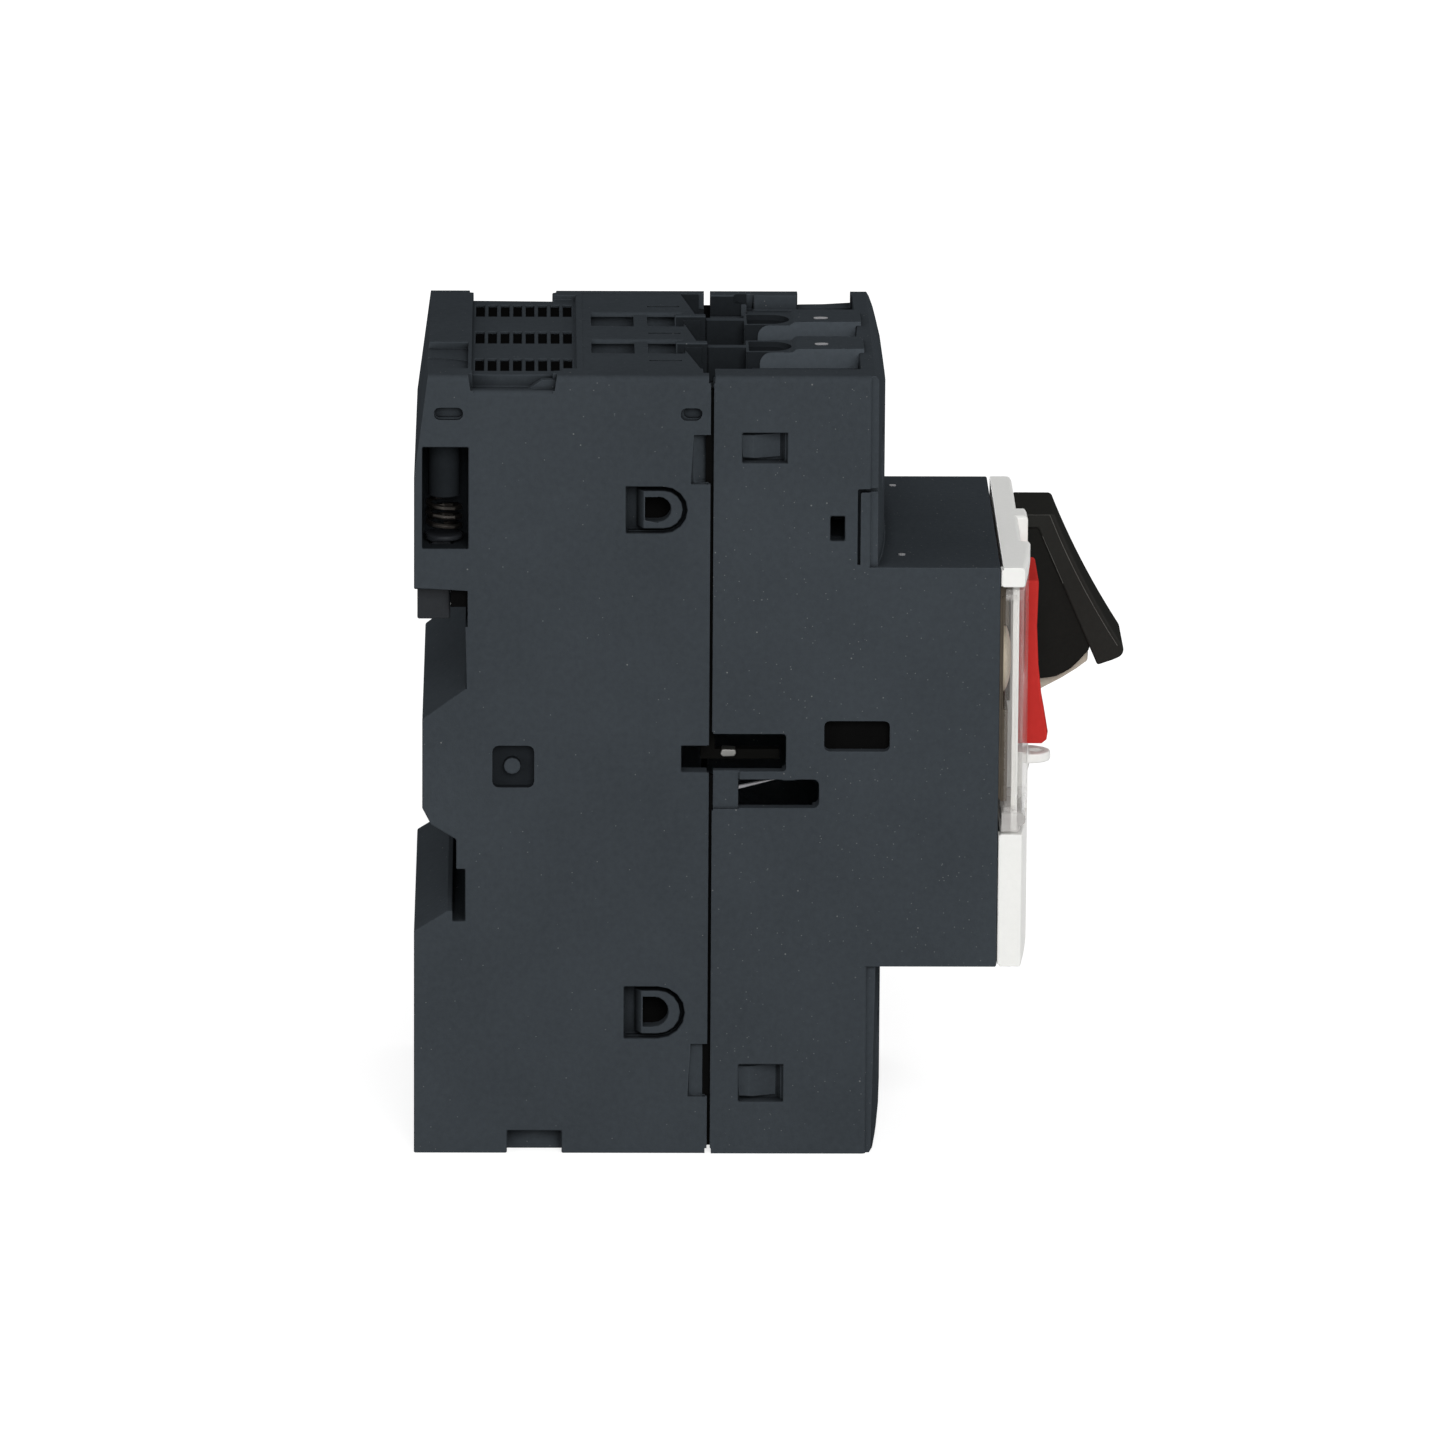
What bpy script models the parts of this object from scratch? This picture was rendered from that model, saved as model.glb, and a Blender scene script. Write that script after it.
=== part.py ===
"""Three-pole manual motor starter that clips on a 35 mm rail, made of separate pieces.

Sizes are in millimetres and the helpers turn them into metres. A place is given as x across the
width, depth from the back plane towards the front, and z up from the bottom face.
"""
import math

import bmesh
import bpy
from mathutils import Matrix, Vector

for old in list(bpy.data.objects):
    bpy.data.objects.remove(old, do_unlink=True)

# Driving sizes
MM = 0.001
WIDTH = 45.0
HEIGHT = 89.0
HALF = WIDTH / 2
RAIL_MID = HEIGHT / 2
GAP = 0.3
OVER = 1.5
REAR_FRONT = 32.5
FRONT_BACK = 33.2
NOSE_FRONT = 64.9
NOSE_LOW = 21.7
NOSE_HIGH = HEIGHT - 21.6
TERMINAL_FRONT = 52.5
PLATE_FRONT = 68.9
FRONT_BOW = 1.3
RAIL_SEAT = 5.7
POLE_PITCH = (WIDTH - 3.0) / 3
POLES = (-POLE_PITCH, 0.0, POLE_PITCH)
COVER_INNER = 12.1 - HALF
TERMINAL_Z = HEIGHT - 10.8
SHAFT = (61.0, NOSE_HIGH - 5.9)
PADDLE_TOP = 10.75
PADDLE_REACH = 19.2
OVERALL_DEPTH = SHAFT[0] + PADDLE_REACH
SHAFT_RADIUS = 1.2
SHAFT_FIT = 0.3
SCREW_RADIUS = 1.9
SCREW_FIT = 0.4
COVER_HINGE = (67.2, NOSE_HIGH - 28.8)
DIAL = (6.5 - HALF, NOSE_HIGH - 11.7)
TRIP_AXIS = (27.7, RAIL_MID - 4.4)
SPRING_X = HALF - 4.2
SPRING_DEPTH = 3.3
PAD_SIZE = (2.8, 2.8)

collection = bpy.context.scene.collection
parts = bpy.data.collections.new("manual_motor_starter")
tools = bpy.data.collections.new("cutters")
collection.children.link(parts)
collection.children.link(tools)


def place(x, depth, z):
    """World point of a place given in millimetres."""
    return Vector((x, OVERALL_DEPTH / 2 - depth, z)) * MM


def flipped(span):
    """The same span of heights, counted down from the top face."""
    return (HEIGHT - span[1], HEIGHT - span[0])


def about(centre, half):
    """Span that lies evenly about a centre."""
    return (centre - half, centre + half)


def bowed(x, middle):
    """Depth of a front face that bows out by FRONT_BOW at the middle of the width."""
    return middle - FRONT_BOW * (x / HALF) ** 2


def bowed_line(start, end, middle, count=8):
    """Points (x, depth) along a bowed front face."""
    xs = [start + (end - start) * i / count for i in range(count + 1)]
    return [(x, bowed(x, middle)) for x in xs]


def arc(centre, radius, start, end, count):
    """Points on a circle from one angle to another, in degrees."""
    angles = [math.radians(start + (end - start) * i / count) for i in range(count + 1)]
    return [(centre[0] + radius * math.cos(a), centre[1] + radius * math.sin(a)) for a in angles]


def shape(mesh_builder):
    """Working object from a bmesh, kept with the cutters until it becomes a part."""
    mesh = bpy.data.meshes.new("shape")
    mesh_builder.to_mesh(mesh)
    mesh_builder.free()
    body = bpy.data.objects.new("shape", mesh)
    body.hide_render = True
    body.display_type = "WIRE"
    tools.objects.link(body)
    return body


def block(x, depth, z):
    """Box between two values of x, depth and z."""
    low = place(x[0], depth[1], z[0])
    high = place(x[1], depth[0], z[1])
    builder = bmesh.new()
    bmesh.ops.create_cube(builder, size=1.0)
    bmesh.ops.scale(builder, vec=high - low, verts=builder.verts)
    bmesh.ops.translate(builder, vec=(low + high) / 2, verts=builder.verts)
    return shape(builder)


def rod(along, radius, span, centre, sides=24):
    """Cylinder along x, depth or z; centre gives the two other values in that order."""
    middle = sum(span) / 2
    turn = Matrix.Identity(4)
    point = place(*centre, middle)
    if along == "x":
        turn = Matrix.Rotation(math.pi / 2, 4, "Y")
        point = place(middle, *centre)
    elif along == "depth":
        turn = Matrix.Rotation(math.pi / 2, 4, "X")
        point = place(centre[0], middle, centre[1])
    builder = bmesh.new()
    bmesh.ops.create_cone(
        builder,
        cap_ends=True,
        segments=sides,
        radius1=radius * MM,
        radius2=radius * MM,
        depth=(span[1] - span[0]) * MM,
        matrix=Matrix.Translation(point) @ turn,
    )
    return shape(builder)


def curve_mesh(curve):
    """Closed bmesh of a curve, with its caps welded on; the curve itself is removed."""
    body = bpy.data.objects.new("curve", curve)
    tools.objects.link(body)
    evaluated = body.evaluated_get(bpy.context.evaluated_depsgraph_get())
    mesh = bpy.data.meshes.new_from_object(evaluated)
    bpy.data.objects.remove(body, do_unlink=True)
    builder = bmesh.new()
    builder.from_mesh(mesh)
    bmesh.ops.remove_doubles(builder, verts=builder.verts, dist=0.001 * MM)
    return builder


def poly_spline(curve, points, closed):
    """Straight-edged spline through points in millimetres."""
    spline = curve.splines.new("POLY")
    spline.points.add(len(points) - 1)
    for knot, point in zip(spline.points, points):
        knot.co = (point[0] * MM, point[1] * MM, point[2] * MM, 1.0)
    spline.use_cyclic_u = closed


def slab(points, span, along="x"):
    """Flat outline with thickness: (depth, z) along x, (x, depth) along z or (x, z) along depth."""
    curve = bpy.data.curves.new("outline", "CURVE")
    curve.dimensions = "2D"
    curve.fill_mode = "BOTH"
    curve.extrude = (span[1] - span[0]) / 2 * MM
    poly_spline(curve, [(a, b, 0.0) for a, b in points], True)
    middle = sum(span) / 2
    if along == "x":
        axes = Matrix(((0, 0, 1), (-1, 0, 0), (0, 1, 0)))
        origin = place(middle, 0, 0)
    elif along == "z":
        axes = Matrix(((1, 0, 0), (0, -1, 0), (0, 0, 1)))
        origin = place(0, 0, middle)
    else:
        axes = Matrix(((1, 0, 0), (0, 0, -1), (0, 1, 0)))
        origin = place(0, middle, 0)
    builder = curve_mesh(curve)
    bmesh.ops.transform(builder, matrix=Matrix.Translation(origin) @ axes.to_4x4(), verts=builder.verts)
    bmesh.ops.recalc_face_normals(builder, faces=builder.faces)
    return shape(builder)


def coil(along, centre, span, radius, wire, turns, steps=10):
    """Wire wound along x, depth or z between two values."""
    curve = bpy.data.curves.new("coil", "CURVE")
    curve.dimensions = "3D"
    curve.bevel_depth = wire * MM
    curve.bevel_resolution = 1
    curve.use_fill_caps = True
    points = []
    for i in range(turns * steps + 1):
        angle = 2 * math.pi * i / steps
        run = span[0] + wire + (span[1] - span[0] - 2 * wire) * i / (turns * steps)
        side = radius * math.cos(angle)
        rise = radius * math.sin(angle)
        spot = place(centre[0] + side, centre[1] + rise, run)
        if along == "x":
            spot = place(run, centre[0] + side, centre[1] + rise)
        elif along == "depth":
            spot = place(centre[0] + side, run, centre[1] + rise)
        points.append(spot / MM)
    poly_spline(curve, points, False)
    pairs = ((a, b) for i, a in enumerate(points) for b in points[i + steps // 2:])
    least = min((a - b).length for a, b in pairs) - 2 * wire
    print(f"least gap between turns {least:.2f} mm")
    builder = curve_mesh(curve)
    bmesh.ops.recalc_face_normals(builder, faces=builder.faces)
    return shape(builder)


def cluster(shapes):
    """One cutter made of shapes that lie clear of each other."""
    builder = bmesh.new()
    for body in shapes:
        builder.from_mesh(body.data)
        bpy.data.objects.remove(body, do_unlink=True)
    return shape(builder)


def combine(body, operation, others):
    for other in others:
        step = body.modifiers.new(operation.lower(), "BOOLEAN")
        step.operation = operation
        step.solver = "EXACT"
        step.object = other


def carve(body, *cutters):
    """Cut shapes out of a body."""
    combine(body, "DIFFERENCE", cutters)


def weld(body, *pieces):
    """Join shapes to a body."""
    combine(body, "UNION", pieces)


def both_sides(maker):
    """A shape on the left side and its twin on the right, from a function of the side's sign."""
    return [maker(-1), maker(1)]


def across(side, inner, outer):
    """Span of x on one side of the middle, from an inner to an outer distance."""
    return tuple(sorted((side * inner, side * outer)))


def finish(name, body, colour, roughness, metallic=0.0, axis=None, alpha=1.0):
    """Make a working shape a named part with its material and its origin on its joint axis."""
    body.name = name
    body.data.name = name
    tools.objects.unlink(body)
    parts.objects.link(body)
    body.hide_render = False
    body.display_type = "TEXTURED"
    if axis is not None:
        body.data.transform(Matrix.Translation(-axis))
        body.location = axis
    material = bpy.data.materials.new(name)
    material.use_nodes = True
    shader = material.node_tree.nodes["Principled BSDF"]
    shader.inputs["Base Color"].default_value = (*colour, 1.0)
    shader.inputs["Roughness"].default_value = roughness
    shader.inputs["Metallic"].default_value = metallic
    shader.inputs["Alpha"].default_value = alpha
    body.data.materials.append(material)
    return body


def smooth(body):
    """Round pieces shade smooth, apart from their sharp edges."""
    body.data.shade_smooth()
    body.data.set_sharp_from_angle(angle=math.radians(35))
    return body


SLATE = (0.042, 0.050, 0.056)
BLACK = (0.016, 0.016, 0.016)
WHITE = (0.80, 0.80, 0.77)
RED = (0.60, 0.022, 0.020)
CREAM = (0.62, 0.55, 0.45)
CLEAR = (0.85, 0.85, 0.83)
COPPER = (0.72, 0.40, 0.25)
STEEL = (0.55, 0.55, 0.55)

# Rear housing: one moulding with the rail seat, three pole chambers and the arc vents
SHELL_BACK = 7.5
CHAMBER_HALF = POLE_PITCH / 2 - 0.8
CHAMBER_Z = (3.0, HEIGHT - 2.5)
VENT_FLOOR = HEIGHT - 0.6
VENT_DEPTH = (6.3, 17.9)
VENT_COUNT = 8
VENT_PITCH = 1.4
VENT_WIDTH = 0.95
VENT_HALF = 3.1
VENT_FIELD = POLE_PITCH + CHAMBER_HALF - 0.6
CHANNEL_FLOOR = HEIGHT - 1.8
CHANNEL_DEPTH = 18.6
WIRE_BACK = 28.6
WIRE_HALF = CHAMBER_HALF - 0.8
LIP_Z = RAIL_MID + 20.3
SLOPE_Z = HEIGHT - 11.6
SPRING_POCKET = ((0.9, 6.0), (LIP_Z + 4.6, LIP_Z + 16.1))
SPRING_POCKET_INNER = HALF - 7.7
SPRING_POST = (1.75, LIP_Z + 9.8)
JAW_HALF = HALF - 2.2
JAW_DEPTH = (0.35, 4.0)
JAW_TRAVEL = 1.8
JAW_TOP = LIP_Z - GAP
JAW_LOW = LIP_Z - 3.9
SEAT_RELIEF = 0.25
JAW_ROOM = JAW_TOP + JAW_TRAVEL + 1.1
JAW_TONGUE_HALF = 10.0
STEM_HALF = 1.2
CLIP_SPANS = ((HEIGHT - 9.4, HEIGHT - 6.8), (6.4, 9.9))
CLIP_X = (HALF - 2.0, HALF - 0.9)
CLIP_BARB = HALF - GAP
CLIP_END = 40.4
AUX_REAR = ((29.65, REAR_FRONT + OVER), (RAIL_MID - 0.5, RAIL_MID + 2.5))


def rounded_box(depth, z, radius):
    """Outline of a rectangle in (depth, z) with round corners."""
    d0, d1 = depth
    z0, z1 = z
    corners = (
        ((d1 - radius, z1 - radius), 0),
        ((d0 + radius, z1 - radius), 90),
        ((d0 + radius, z0 + radius), 180),
        ((d1 - radius, z0 + radius), 270),
    )
    return [p for centre, start in corners for p in arc(centre, radius, start, start + 90, 3)]


def d_outline(depth, z):
    """Outline of a letter-D window: flat towards the back, round towards the front."""
    radius = (z[1] - z[0]) / 2
    centre = (depth[1] - radius, (z[0] + z[1]) / 2)
    return [(depth[0], z[0])] + arc(centre, radius, -90, 90, 8) + [(depth[0], z[1])]


rear_outline = [
    (1.54, HEIGHT),
    (REAR_FRONT, HEIGHT),
    (REAR_FRONT, 0.0),
    (0.0, 0.0),
    (0.0, RAIL_MID - 18.8),
    (3.7, RAIL_MID - 16.5),
    (4.3, RAIL_MID - 16.5),
    (4.3, RAIL_MID - 17.7),
    (RAIL_SEAT, RAIL_MID - 17.7),
    (RAIL_SEAT, RAIL_MID - 11.7),
    (4.7, RAIL_MID - 11.7),
    (4.7, RAIL_MID - 8.3),
    (1.9, RAIL_MID - 6.6),
    (0.92, RAIL_MID - 4.7),
    (0.92, RAIL_MID + 5.5),
    (RAIL_SEAT, RAIL_MID + 9.0),
    (RAIL_SEAT, JAW_LOW - 0.4),
    (RAIL_SEAT + SEAT_RELIEF, JAW_LOW - 0.4),
    (RAIL_SEAT + SEAT_RELIEF, LIP_Z),
    (0.0, LIP_Z),
    (0.0, SLOPE_Z),
]
rear = slab(rear_outline, (-HALF, HALF))
for pole in POLES:
    carve(rear, block(about(pole, CHAMBER_HALF), (SHELL_BACK, REAR_FRONT + OVER), CHAMBER_Z))
    channel_x = about(pole, POLE_PITCH / 2 - 0.5)
    carve(rear, block(channel_x, (CHANNEL_DEPTH, REAR_FRONT + OVER), (CHANNEL_FLOOR, HEIGHT + OVER)))
    wire_x = about(pole, WIRE_HALF)
    wire_depth = (WIRE_BACK, REAR_FRONT + OVER)
    carve(rear, block(wire_x, wire_depth, (CHAMBER_Z[1] - OVER, HEIGHT + OVER)))
    carve(rear, block(wire_x, wire_depth, (-OVER, CHAMBER_Z[0] + OVER)))
    vent_starts = [VENT_DEPTH[0] + 0.4 + VENT_PITCH * i for i in range(VENT_COUNT)]
    vent_z = (CHAMBER_Z[1] - OVER, VENT_FLOOR + 0.5)
    carve(rear, cluster([block(about(pole, VENT_HALF), (d, d + VENT_WIDTH), vent_z) for d in vent_starts]))
carve(rear, block(about(0, VENT_FIELD), VENT_DEPTH, (VENT_FLOOR, HEIGHT + OVER)))
bar_room = (RAIL_MID - 10.5, RAIL_MID + 11.0)
carve(rear, block((-8.5, 8.5), (24.0, REAR_FRONT + OVER), bar_room))

NOTCH_FLOOR = HEIGHT - 1.7
notch_outline = [(5.7, HEIGHT + OVER), (6.2, NOTCH_FLOOR), (15.5, NOTCH_FLOOR), (16.0, HEIGHT + OVER)]
carve(rear, *both_sides(lambda s: slab(notch_outline, across(s, HALF - 1.6, HALF + OVER))))
GROOVE_X = (HALF - 3.5, HALF - 1.3)
carve(rear, *both_sides(lambda s: block(across(s, *GROOVE_X), (6.4, 15.3), (NOTCH_FLOOR - GAP, HEIGHT + OVER))))
carve(rear, *both_sides(lambda s: block(across(s, HALF - 2.0, HALF + OVER), (10.4, 16.5), (-OVER, 2.6))))

carve(
    rear,
    *both_sides(lambda s: block(across(s, SPRING_POCKET_INNER, HALF + OVER), *SPRING_POCKET)),
    block(about(0, JAW_HALF + GAP), (-OVER, JAW_DEPTH[1] + 0.4), (LIP_Z - OVER, JAW_ROOM)),
    block(about(0, JAW_TONGUE_HALF + 0.4), (OVER, RAIL_SEAT - 0.1), (LIP_Z - OVER, JAW_ROOM)),
    *both_sides(
        lambda s: block(
            about(s * SPRING_X, STEM_HALF + GAP),
            (1.7, JAW_DEPTH[1] + GAP),
            (JAW_ROOM - OVER, SPRING_POCKET[1][0] + OVER),
        )
    ),
)
post_z = (SPRING_POST[1], SPRING_POCKET[1][1] + 0.5)
weld(rear, *both_sides(lambda s: rod("z", SPRING_POST[0], post_z, (s * SPRING_X, SPRING_DEPTH), 16)))

WINDOW_FLOOR = HALF - 1.3
RING_FACE = HALF - 0.25
for d_z in ((HEIGHT - 17.8, HEIGHT - 12.5), (13.3, 19.3)):
    ring_z = (d_z[0] + 0.5, d_z[1] - 0.5)
    hole_z = (d_z[0] + 1.3, d_z[1] - 1.2)
    outer = d_outline((23.4, 30.2), d_z)
    ring = d_outline((24.7, 29.7), ring_z)
    hole = d_outline((25.5, 28.4), hole_z)
    carve(rear, *both_sides(lambda s: slab(outer, across(s, WINDOW_FLOOR, HALF + OVER))))
    weld(rear, *both_sides(lambda s: slab(ring, across(s, WINDOW_FLOOR - 0.5, RING_FACE))))
    carve(rear, *both_sides(lambda s: slab(hole, across(s, HALF - 4.3, HALF + OVER))))

pocket = rounded_box((8.7, 13.35), (RAIL_MID - 2.3, RAIL_MID + 2.5), 0.7)
carve(rear, *both_sides(lambda s: slab(pocket, across(s, WINDOW_FLOOR, HALF + OVER))))
pin = (10.9, RAIL_MID + 0.1)
weld(rear, *both_sides(lambda s: rod("x", 0.95, across(s, WINDOW_FLOOR - 0.4, HALF - 0.2), pin, 12)))

SHALLOW = HALF - 0.5
EDGE_STEP = (30.7, REAR_FRONT + OVER)
for z in ((HEIGHT - 12.2, HEIGHT - 6.6), (6.6, 12.7)):
    carve(rear, *both_sides(lambda s: block(across(s, SHALLOW, HALF + OVER), EDGE_STEP, z)))
for depth in ((2.2, 5.4), (29.4, 31.7)):
    mark = rounded_box(depth, (HEIGHT - 5.0, HEIGHT - 3.6), 0.6)
    carve(rear, *both_sides(lambda s: slab(mark, across(s, SHALLOW, HALF + OVER))))
carve(rear, block((-HALF - OVER, 3.3 - HALF), *AUX_REAR))

for clip_z in CLIP_SPANS:
    clip_outline = [
        (CLIP_X[0], REAR_FRONT - 0.8),
        (CLIP_X[0], CLIP_END),
        (CLIP_BARB, CLIP_END),
        (CLIP_X[1], 36.8),
        (CLIP_X[1], REAR_FRONT - 0.8),
    ]
    weld(rear, *both_sides(lambda s: slab([(s * x, d) for x, d in clip_outline], clip_z, "z")))
finish("rear_housing", rear, SLATE, 0.55)

# Front housing: moulding with six terminal compartments and the nose that holds the mechanism
COMPARTMENT_HALF = CHAMBER_HALF - 0.2
COMPARTMENT_END = 48.5
COMPARTMENT_Z = (HEIGHT - 19.6, HEIGHT - 2.4)
WIRE_FRONT = 37.4
ROOF_FLOOR = HEIGHT - 1.0
TUNNEL_RADIUS = 3.7
NOSE_SIDE = HALF - 1.7
NOSE_INNER = (NOSE_LOW + 2.0, NOSE_HIGH - 2.0)
NOSE_WALL = 63.1
NOSE_DOOR = ((COVER_INNER - 1.0, HALF - 2.3), (NOSE_HIGH - 26.9, NOSE_HIGH - 1.4))
DIAL_SHAFT = 1.9
CLIP_ROOM = 0.4

terminal_plan = [(-HALF, FRONT_BACK), (-HALF, 50.4)]
terminal_plan += bowed_line(0.6 - HALF, HALF - 0.6, TERMINAL_FRONT)
terminal_plan += [(HALF, 50.4), (HALF, FRONT_BACK)]
front = slab(terminal_plan, (0.0, HEIGHT), "z")
weld(front, block((-HALF, HALF), (45.0, NOSE_FRONT), (NOSE_LOW, NOSE_HIGH)))
BROW = ((-1.9, -0.4), (-1.0, 0.8), (-0.3, 2.7), (0.1, 5.2), (2.0, 5.2), (2.0, -0.4))
brow = [(TERMINAL_FRONT + depth, HEIGHT - drop) for depth, drop in BROW]
chin = [(TERMINAL_FRONT + depth, rise) for depth, rise in BROW]
carve(front, slab(brow, about(0, HALF + OVER)), slab(chin, about(0, HALF + OVER)))
carve(front, block(about(0, NOSE_SIDE), (FRONT_BACK - OVER, NOSE_WALL), NOSE_INNER))
for pole in POLES:
    for turn in (lambda span: span, flipped):
        back = FRONT_BACK - OVER
        carve(front, block(about(pole, COMPARTMENT_HALF), (back, COMPARTMENT_END), turn(COMPARTMENT_Z)))
        entry_z = turn((COMPARTMENT_Z[1] - OVER, HEIGHT + OVER))
        carve(front, block(about(pole, WIRE_HALF), (back, WIRE_FRONT), entry_z))
        screw_z = sum(turn((TERMINAL_Z, TERMINAL_Z))) / 2
        tunnel = (COMPARTMENT_END - OVER, TERMINAL_FRONT + OVER)
        carve(front, rod("depth", TUNNEL_RADIUS, tunnel, (pole, screw_z)))
    channel_x = about(pole, POLE_PITCH / 2 - 0.7)
    carve(front, block(channel_x, (WIRE_FRONT - OVER, 49.3), (ROOF_FLOOR, HEIGHT + OVER)))
carve(front, block((HALF - 2.2, HALF + OVER), (43.1, 49.1), (HEIGHT - 1.6, HEIGHT + OVER)))
carve(front, block(NOSE_DOOR[0], (NOSE_WALL - OVER, NOSE_FRONT + OVER), NOSE_DOOR[1]))
carve(front, rod("depth", DIAL_SHAFT + SHAFT_FIT, (NOSE_WALL - OVER, NOSE_FRONT + OVER), DIAL))

for clip_z in CLIP_SPANS:
    room_z = (clip_z[0] - CLIP_ROOM, clip_z[1] + CLIP_ROOM)
    room_depth = (FRONT_BACK - OVER, CLIP_END + 0.5)
    carve(front, *both_sides(lambda s: block(across(s, HALF - 3.0, CLIP_X[1] + CLIP_ROOM), room_depth, room_z)))
    carve(front, *both_sides(lambda s: block(across(s, CLIP_X[1], HALF + OVER), (36.2, 41.2), room_z)))

LEFT_WALL = (-HALF - OVER, 2.7 - HALF)
LEFT_SKIN = (-HALF - OVER, -SHALLOW)
STRIP = (-HALF - OVER, -HALF + 0.9)
carve(
    front,
    block(LEFT_WALL, (46.0, 47.6), (HEIGHT - 18.6, HEIGHT - 15.8)),
    slab(rounded_box((45.5, 52.8), (RAIL_MID + 1.9, RAIL_MID + 5.4), 0.6), LEFT_WALL),
    block(LEFT_WALL, (FRONT_BACK - OVER, 41.3), (RAIL_MID - 0.4, RAIL_MID + 3.9)),
    block(LEFT_WALL, (36.0, 45.0), (RAIL_MID - 4.6, RAIL_MID - 1.3)),
    block(LEFT_SKIN, (FRONT_BACK - OVER, 36.1), (RAIL_MID - 4.7, RAIL_MID)),
    block(STRIP, (49.0, 49.35), (NOSE_HIGH + GAP, HEIGHT - 12.8)),
    block(STRIP, (49.0, TERMINAL_FRONT + OVER), (HEIGHT - 13.1, HEIGHT - 12.7)),
)
finish("front_housing", front, SLATE, 0.5)

# Front plate: white bezel that bows out, with openings for both paddles and the clear cover
PLATE_BACK = NOSE_FRONT + GAP
PLATE_HALF = HALF - 0.1
PLATE_BASE = 67.7
START_X = (HALF - 15.2, HALF - 4.2)
STOP_X = (COVER_INNER + 1.5, START_X[0] - 4.9)
STOP_DOOR_X = (STOP_X[0] - GAP, STOP_X[1] + GAP)
START_DOOR_X = (START_X[0] - GAP, START_X[1] + GAP)
DOOR_LOW = NOSE_HIGH - 24.5
STOP_DOOR_TOP = NOSE_HIGH - 4.2
START_DOOR_TOP = NOSE_HIGH - 2.8
COVER_NOTCH = (NOSE_HIGH - 30.5, NOSE_HIGH - 2.2)
TAB_X = -4.5
TAB_HALF = 2.1
TAB_CENTRE = 69.3
TAB_Z = (DOOR_LOW - 1.9, DOOR_LOW - 0.8)

plate_plan = [(-PLATE_HALF, PLATE_BACK)] + bowed_line(-PLATE_HALF, PLATE_HALF, PLATE_FRONT)
plate = slab(plate_plan + [(PLATE_HALF, PLATE_BACK)], (NOSE_LOW, NOSE_HIGH), "z")
through = (PLATE_BACK - OVER, PLATE_FRONT + OVER)
proud = (PLATE_BASE, PLATE_FRONT + OVER)
carve(
    plate,
    block((-HALF - OVER, COVER_INNER), through, COVER_NOTCH),
    block(STOP_DOOR_X, through, (DOOR_LOW, STOP_DOOR_TOP)),
    block(START_DOOR_X, through, (DOOR_LOW, START_DOOR_TOP)),
    block((STOP_DOOR_X[0], STOP_DOOR_X[1] + 0.2), proud, (STOP_DOOR_TOP - 0.2, NOSE_HIGH + OVER)),
    block((START_DOOR_X[0] - 0.2, HALF + OVER), proud, (DOOR_LOW - 0.8, NOSE_HIGH + OVER)),
)
tab = [(TAB_X + TAB_HALF, 67.0)] + arc((TAB_X, TAB_CENTRE), TAB_HALF, 0, 180, 8) + [(TAB_X - TAB_HALF, 67.0)]
weld(plate, slab(tab, TAB_Z, "z"))
carve(plate, rod("z", 0.9, (TAB_Z[0] - OVER, TAB_Z[1] + OVER), (TAB_X, TAB_CENTRE + 0.4), 12))
finish("front_plate", plate, WHITE, 0.45)

# Setting panel and dial behind the clear cover
PANEL_DEPTH = (PLATE_BACK, PLATE_BACK + 0.7)
DIAL_RADIUS = 3.9
DIAL_TOP = 66.4
panel = block((1.4 - HALF, COVER_INNER - GAP), PANEL_DEPTH, (NOSE_HIGH - 27.0, NOSE_HIGH - 3.6))
carve(panel, rod("depth", DIAL_RADIUS + GAP, (PANEL_DEPTH[0] - OVER, PANEL_DEPTH[1] + OVER), DIAL))
finish("setting_panel", panel, CREAM, 0.5)

dial = rod("depth", DIAL_RADIUS, (PLATE_BACK, DIAL_TOP - 0.6), DIAL)
weld(dial, rod("depth", DIAL_RADIUS - 0.8, (PLATE_BACK + 0.2, DIAL_TOP), DIAL))
weld(dial, rod("depth", DIAL_SHAFT, (58.5, PLATE_BACK + 0.3), DIAL))
carve(dial, block(about(DIAL[0], 2.6), (DIAL_TOP - 0.6, DIAL_TOP + OVER), about(DIAL[1], 0.45)))
finish("setting_dial", smooth(dial), CREAM, 0.4, axis=place(DIAL[0], PLATE_BACK, DIAL[1]))

# Clear cover: bowed skin with a side wall and a hinge barrel along its lower edge
COVER_X = (-PLATE_HALF + 0.05, COVER_INNER - GAP)
COVER_Z = (COVER_HINGE[1], COVER_NOTCH[1] - GAP)
COVER_SKIN = 0.8
COVER_FACE = PLATE_FRONT - 0.1
cover_plan = [(COVER_X[0], PLATE_BACK + GAP)] + bowed_line(*COVER_X, COVER_FACE, 4)
cover = slab(cover_plan + [(COVER_X[1], PLATE_BACK + GAP)], COVER_Z, "z")
hollow_x = (COVER_X[0] + COVER_SKIN, COVER_X[1] + OVER)
hollow = [(hollow_x[0], PLATE_BACK - OVER)] + bowed_line(*hollow_x, COVER_FACE - COVER_SKIN, 4)
hollow.append((hollow_x[1], PLATE_BACK - OVER))
carve(cover, slab(hollow, (COVER_Z[0] - OVER, COVER_Z[1] - COVER_SKIN), "z"))
weld(cover, rod("x", COVER_SKIN, (COVER_X[0] + 0.1, COVER_X[1] - 0.1), COVER_HINGE, 12))
finish("clear_cover", cover, CLEAR, 0.1, axis=place(0, *COVER_HINGE), alpha=0.35)

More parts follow.
